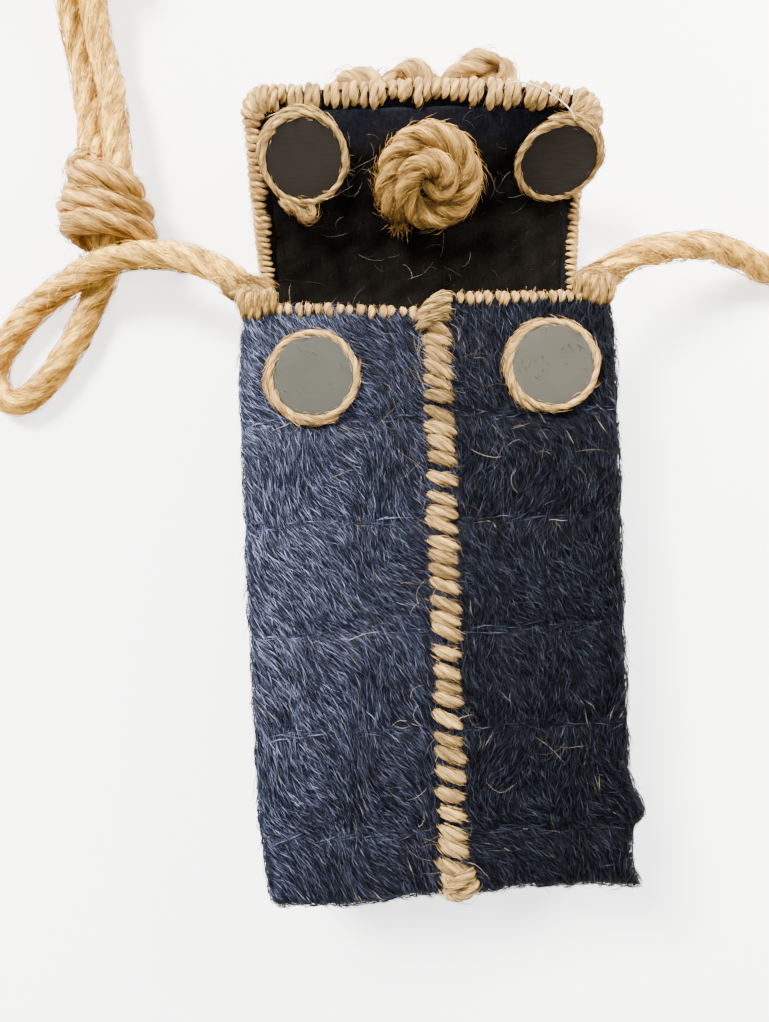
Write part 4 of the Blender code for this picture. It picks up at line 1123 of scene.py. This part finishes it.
for k in range(count):
    x = -inner + 2 * inner * (k + 0.5 + rng.normal(0, 0.13)) / count
    near = rng.uniform(2.3, 6.2) * MM
    slant = rng.uniform(0.1, 1.9) * MM
    yarn = FLAP_YARN * rng.uniform(0.84, 1.12)
    parts += flap_stitch(x, FLAP_LENGTH, 0.0, 1.0, near, 4.5 * MM, slant, yarn)
flap_spots = np.concatenate([
    rng.normal((x, s), (spread, spread), (count, 2)) for x, s, spread, count in FLAP_SPOTS
]) * MM
hair_places = np.array([flap_point(x, s, BOARD + GAP + LINING + 0.5 * MM) for x, s in flap_spots])
hair_facing = np.array([flap_normal(x, s) for x, s in flap_spots])
parts.append(loose_hairs(rng, hair_places, hair_facing, 15 * MM, FELT_HAIR_TONES))
loose = [tuple(v * MM for v in place) for place in LOOSE_THREAD]
laid = lay(smooth_route(loose, 1.0 * MM))
parts.append(spun(rng, laid, 0.25 * MM, 2, 4 * MM, 6, 0.3, blunt=False, tones=THREAD_TONES))
flap_edge = joined("flap_stitches", parts, [bare_jute])
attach(flap_edge, "root")
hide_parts("flap_binding")


# The four closure magnets: flat discs of dull grey metal, faintly scratched, those on the flap darker.
# Two lie on the front's jute and two on the flap's felt, each in a ring of two-ply yarn.
DISC_RADIUS = 13.1 * MM
DISC_THICK = 2.2 * MM
RING_RADIUS = 13.8 * MM
RING_YARN = 1.12 * MM
DISC_PLACES = ("front_left", "front_right", "flap_left", "flap_right")
RING_TAIL = (
    # across, along and out from the middle of the flap's left disc, in millimetres
    (-8.6, -12.4, 0.2), (-6.4, -14.0, 1.2), (-4.4, -15.2, 0.6), (-2.4, -16.2, 1.0),
    (-1.4, -18.0, 1.2), (0.8, -19.0, 1.2), (2.8, -17.4, 1.0), (2.2, -15.2, 0.4), (0.4, -13.8, 0.2),
)
SECOND_TURNS = {
    # where the ring's yarn lies double: from and to, in degrees
    "front_left": (150, 300),
    "front_right": (95, 250),
    "flap_left": (60, 190),
    "flap_right": (-20, 110),
}


def disc_finish(name, colour, roughness):
    """Dull metal: cloudy in colour, with faint scratches in its shine."""
    made = bpy.data.materials.new(name)
    made.use_nodes = True
    nodes, links = made.node_tree.nodes, made.node_tree.links
    shader = nodes["Principled BSDF"]
    where = nodes.new("ShaderNodeTexCoord")
    cloud = nodes.new("ShaderNodeTexNoise")
    cloud.inputs["Scale"].default_value = 90.0
    cloud.inputs["Detail"].default_value = 5.0
    links.new(where.outputs["Object"], cloud.inputs["Vector"])
    stretch = nodes.new("ShaderNodeMapping")
    stretch.inputs["Rotation"].default_value = (0.0, 0.0, 0.7)
    stretch.inputs["Scale"].default_value = (160.0, 4200.0, 900.0)
    links.new(where.outputs["Object"], stretch.inputs["Vector"])
    scratch = nodes.new("ShaderNodeTexNoise")
    scratch.inputs["Scale"].default_value = 1.0
    scratch.inputs["Detail"].default_value = 3.0
    links.new(stretch.outputs["Vector"], scratch.inputs["Vector"])
    blend = nodes.new("ShaderNodeMix")
    blend.data_type = "RGBA"
    links.new(cloud.outputs["Fac"], blend.inputs["Factor"])
    blend.inputs["A"].default_value = (*[v * 0.82 for v in colour], 1.0)
    blend.inputs["B"].default_value = (*[v * 1.18 for v in colour], 1.0)
    links.new(blend.outputs["Result"], shader.inputs["Base Color"])
    dull = nodes.new("ShaderNodeMapRange")
    dull.inputs["From Min"].default_value = 0.35
    dull.inputs["From Max"].default_value = 0.65
    dull.inputs["To Min"].default_value = roughness - 0.08
    dull.inputs["To Max"].default_value = roughness + 0.12
    links.new(scratch.outputs["Fac"], dull.inputs["Value"])
    links.new(dull.outputs["Result"], shader.inputs["Roughness"])
    relief = nodes.new("ShaderNodeBump")
    relief.inputs["Strength"].default_value = 0.12
    relief.inputs["Distance"].default_value = 0.1 * MM
    links.new(scratch.outputs["Fac"], relief.inputs["Height"])
    links.new(relief.outputs["Normal"], shader.inputs["Normal"])
    shader.inputs["Specular IOR Level"].default_value = 0.2
    return made


grey_metal = disc_finish("grey_metal", (0.0345, 0.0330, 0.0250), 0.6)
# painted shade: the front left disc's copy of the grey metal is darker, to offset the window's stronger light
# on it
grey_metal_shaded = disc_finish("grey_metal_shaded", (0.0285, 0.0280, 0.0215), 0.6)
dark_metal = disc_finish("dark_metal", (0.0125, 0.0098, 0.0064), 0.7)
DISC_METALS = {
    "front_left": grey_metal_shaded,
    "front_right": grey_metal,
    "flap_left": dark_metal,
    "flap_right": dark_metal,
}


def node_frame(node):
    """The middle and the facing of a flat round node, with two directions across it."""
    points = np.array([v.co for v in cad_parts[node].data.vertices], float)
    points = np.unique(points.round(6), axis=0)
    middle = points.mean(0)
    ways = np.linalg.svd(points - middle, full_matrices=False)[2]
    facing = ways[2] * (1 if ways[2][2] > 0 else -1)
    across = unit(np.cross(np.array(Y_AXIS), facing))
    return middle, facing, across, np.cross(facing, across)


for where in DISC_PLACES:
    middle, facing, across, along = node_frame(f"disc_{where}")
    turned = Matrix((across, along, facing)).transposed().to_4x4()
    turned.translation = Vector(middle)
    bpy.ops.object.select_all(action="DESELECT")
    bpy.ops.mesh.primitive_cylinder_add(vertices=72, radius=DISC_RADIUS, depth=DISC_THICK)
    disc = bpy.context.object
    disc.name = f"magnet_{where}"
    bpy.ops.object.mode_set(mode="EDIT")
    bpy.ops.mesh.select_all(action="DESELECT")
    bpy.ops.object.mode_set(mode="OBJECT")
    for face in disc.data.polygons:
        face.select = face.normal.z > 0.9
    bpy.ops.object.mode_set(mode="EDIT")
    bpy.ops.mesh.inset(thickness=0.9 * MM)
    bpy.ops.transform.translate(value=(0.0, 0.0, 0.12 * MM))
    bpy.ops.mesh.inset(thickness=6.0 * MM)
    bpy.ops.transform.translate(value=(0.0, 0.0, -0.10 * MM))
    bpy.ops.object.mode_set(mode="OBJECT")
    edge = disc.modifiers.new("edge", "BEVEL")
    edge.width = 0.35 * MM
    edge.segments = 3
    edge.limit_method = "ANGLE"
    edge.angle_limit = math.radians(40)
    bpy.ops.object.modifier_apply(modifier="edge")
    disc.matrix_world = turned
    bpy.ops.object.transform_apply(location=True, rotation=True, scale=True)
    bpy.ops.object.shade_smooth_by_angle(angle=math.radians(35))
    disc.data.materials.append(DISC_METALS[where])
    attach(disc, "root")
    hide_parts(f"disc_{where}")

    rng = np.random.default_rng(80 + DISC_PLACES.index(where))
    parts = []
    turn = np.radians(np.linspace(20, 398, 90))
    wobble = ripples(rng, np.stack((np.cos(turn), np.sin(turn)), 1), 2.5) * 0.15 * MM
    end_dip = np.clip(1 - np.minimum(turn - turn[0], turn[-1] - turn) / 0.12, 0, 1) * 1.2 * MM
    loops = [(turn, RING_RADIUS + wobble, 0.55 * MM - end_dip)]
    begin, end = SECOND_TURNS[where]
    turn = np.radians(np.linspace(begin, end, 50))
    dip = np.clip(1 - np.minimum(turn - turn[0], turn[-1] - turn) / 0.25, 0, 1) * 1.6 * MM
    wobble = ripples(rng, turn[:, None], 1.5) * 0.3 * MM
    loops.append((turn, RING_RADIUS + 1.15 * MM + wobble, -0.1 * MM - dip))
    for turn, reach, height in loops:
        ring = middle + across * (reach * np.cos(turn))[:, None] + along * (reach * np.sin(turn))[:, None]
        ring = ring + facing * np.broadcast_to(height, turn.shape)[:, None]
        laid = lay(smooth_route(ring, 1.0 * MM), facing)
        yarn = RING_YARN if len(turn) > 60 else RING_YARN * 0.8
        parts.append(spun(rng, laid, yarn, 2, 10.5 * MM, 10, 0.26, blunt=False, tones=EDGE_TONES))
        parts.append(fuzz(rng, laid, yarn, 190, 6 * MM, 0.24 * MM, 0.6 * MM, 0.3, 30 * MM, EDGE_TONES))
    if where == "flap_left":
        tail = [middle + (across * a + along * b + facing * c) * MM for a, b, c in RING_TAIL]
        laid = lay(smooth_route(tail, 0.8 * MM), facing)
        parts.append(spun(rng, laid, RING_YARN * 0.95, 2, 9 * MM, 10, 0.35, blunt=False, tones=EDGE_TONES))
        parts.append(fuzz(rng, laid, RING_YARN, 260, 5 * MM, 0.22 * MM, 1.1 * MM, 0.4, 30 * MM, EDGE_TONES))
    ring = joined(f"ring_yarn_{where}", parts, [bare_jute])
    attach(ring, "root")
    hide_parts(f"ring_{where}")


# The coil at the middle of the flap: a length of three-ply rope wound inwards on itself, its cut end
# fraying at the lower left.
COIL_ROPE = 4.3 * MM
COIL_ACROSS = 2.0 * MM
COIL_ALONG = FLAP_LENGTH - 27.0 * MM
COIL_RADIUS = 18.75 * MM
FRAYED = 90
COIL_TONES = ((0.070, 0.030, 0.008), (0.56, 0.330, 0.085))
COIL_TURN = (
    # degrees from +X, radius as a share of the coil's, height of the rope's middle over the felt
    (-124, 0.88, 2.0), (-152, 0.80, 4.2), (-185, 0.75, 4.6), (-225, 0.75, 4.8), (-270, 0.74, 5.0),
    (-315, 0.74, 5.0), (-360, 0.73, 5.0), (-405, 0.71, 4.8), (-445, 0.66, 4.8), (-480, 0.56, 5.4),
    (-520, 0.46, 7.0), (-565, 0.40, 8.4), (-615, 0.37, 8.8), (-665, 0.34, 8.2), (-715, 0.30, 7.4),
    (-765, 0.22, 7.0), (-830, 0.08, 6.8), (-900, 0.06, 5.6),
)

rng = np.random.default_rng(91)
route = []
for degrees, share, height in COIL_TURN:
    turn = math.radians(degrees)
    x = COIL_ACROSS + COIL_RADIUS * share * math.cos(turn)
    s = COIL_ALONG + COIL_RADIUS * share * math.sin(turn)
    route.append(tuple(flap_point(x, s, BOARD + GAP + LINING + height * MM)))
laid = lay(smooth_route(route, 0.9 * MM), flap_normal(COIL_ACROSS, COIL_ALONG))
# the coil's rope takes a little painted shade on its side away from the window
parts = [
    spun(rng, laid, COIL_ROPE, 3, 26 * MM, 30, 0.5, blunt=False, tones=COIL_TONES, away_shade=0.35),
    fuzz(
        rng, laid, COIL_ROPE * 0.9, 1500, 6 * MM, 0.22 * MM, 1.3 * MM, 0.35, 30 * MM, COIL_TONES, away_shade=0.35,
    ),
]
ways = [rng.normal(mean, spread, FRAYED) for mean, spread in ((-0.25, 0.35), (-0.9, 0.25), (0.12, 0.2))]
away = unit(np.stack(ways, 1))
t = np.linspace(0, 1, 5)[None, :, None]
frayed = np.array(route[0]) + rng.normal(0, 1.6 * MM, (FRAYED, 1, 3))
frayed = frayed + away[:, None] * rng.uniform(2, 6.5, (FRAYED, 1, 1)) * MM * t
frayed = frayed + rng.normal(0, 0.35 * MM, (FRAYED, 5, 3)) * t
wide = rng.uniform(0.2, 0.4, FRAYED) * MM
parts.append(threads(frayed, wide, mixed(*COIL_TONES, rng.beta(2, 1.6, FRAYED))))
coil = joined("coil_rope", parts, [rope_jute])
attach(coil, "root")
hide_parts("flap_coil")


# The rope flower on the flap's outer face: seven petals, each two loops of rope one over the other.
# It lies under the open flap, and only the tips of three petals show, past the flap's free edge.
FLOWER_RADIUS = 36 * MM
FLOWER_ACROSS = 3.5 * MM
FLOWER_ALONG = FLAP_LENGTH - 25 * MM
PETALS = (
    # turn in degrees from +X towards the free edge, reach, thickness
    (142, 1.24, 0.80), (112, 0.99, 0.90), (54, 1.16, 1.00), (0, 0.86, 0.90), (-58, 0.66, 0.80),
    (-122, 0.66, 0.80), (180, 0.88, 0.90),
)
PETAL_ROPE = 4.5 * MM
PETAL_TWIST = 26 * MM
# the petals' loose fibres: how long, how thick, and how far off the rope
PETAL_FUZZ = (6 * MM, 0.22 * MM, 1.1 * MM)
FLOWER_TONES = ((0.10, 0.050, 0.016), (0.53, 0.335, 0.108))

rng = np.random.default_rng(101)
parts = []
# the petals' ropes take a little painted shade on their sides away from the window
for direction, reach, thickness in PETALS:
    centre_turn = math.radians(direction)
    long_half = FLOWER_RADIUS * reach * 0.42
    hidden = not 30 < direction < 150
    if not hidden:
        route = []
        for ahead in np.linspace(9.0 * MM, FLOWER_RADIUS * reach - 1.45 * PETAL_ROPE, 8):
            x = FLOWER_ACROSS + ahead * math.cos(centre_turn)
            s = FLOWER_ALONG + ahead * math.sin(centre_turn)
            place = flap_point(x, s, -GAP - FLAP_YARN * 2 - 5.2 * thickness * MM)
            place[2] = max(place[2], PETAL_ROPE * 0.95)
            route.append(tuple(place))
        laid = lay(smooth_route(route, 1.3 * MM))
        thick = PETAL_ROPE * 1.1
        parts.append(spun(rng, laid, thick, 3, PETAL_TWIST, 21, 0.45, tones=FLOWER_TONES, away_shade=0.3))
        parts.append(fuzz(rng, laid, PETAL_ROPE, 200, *PETAL_FUZZ, 0.3, 30 * MM, FLOWER_TONES))
    for depth, fullness in ((3.2, 1.0), (10.8, 0.86)):
        wide_half = min(9.2 * MM, long_half * 0.8) * fullness
        route = []
        for k in range(17):
            turn = math.tau * k / 16 * 1.03
            ahead = FLOWER_RADIUS * reach - PETAL_ROPE - long_half
            ahead += long_half * fullness * math.cos(turn)
            beside = wide_half * math.sin(turn)
            x = FLOWER_ACROSS + ahead * math.cos(centre_turn) - beside * math.sin(centre_turn)
            s = FLOWER_ALONG + ahead * math.sin(centre_turn) + beside * math.cos(centre_turn)
            drop = GAP + FLAP_YARN * 2 + (depth * thickness) * MM + (0.4 * MM if k > 14 else 0.0)
            place = flap_point(x, s, -drop)
            place[2] = max(place[2], PETAL_ROPE * 0.95)
            route.append(tuple(place))
        laid = lay(smooth_route(route, 1.3 * MM))
        sides, count = (12, 40) if hidden else (21, 230)
        parts.append(spun(
            rng, laid, PETAL_ROPE, 3, PETAL_TWIST, sides, 0.45, blunt=False, tones=FLOWER_TONES, away_shade=0.3,
        ))
        parts.append(fuzz(rng, laid, PETAL_ROPE * 0.92, count, *PETAL_FUZZ, 0.3, 30 * MM, FLOWER_TONES))
flower = joined("flower_rope", parts, [rope_jute])
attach(flower, "root")
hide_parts("flap_flower")
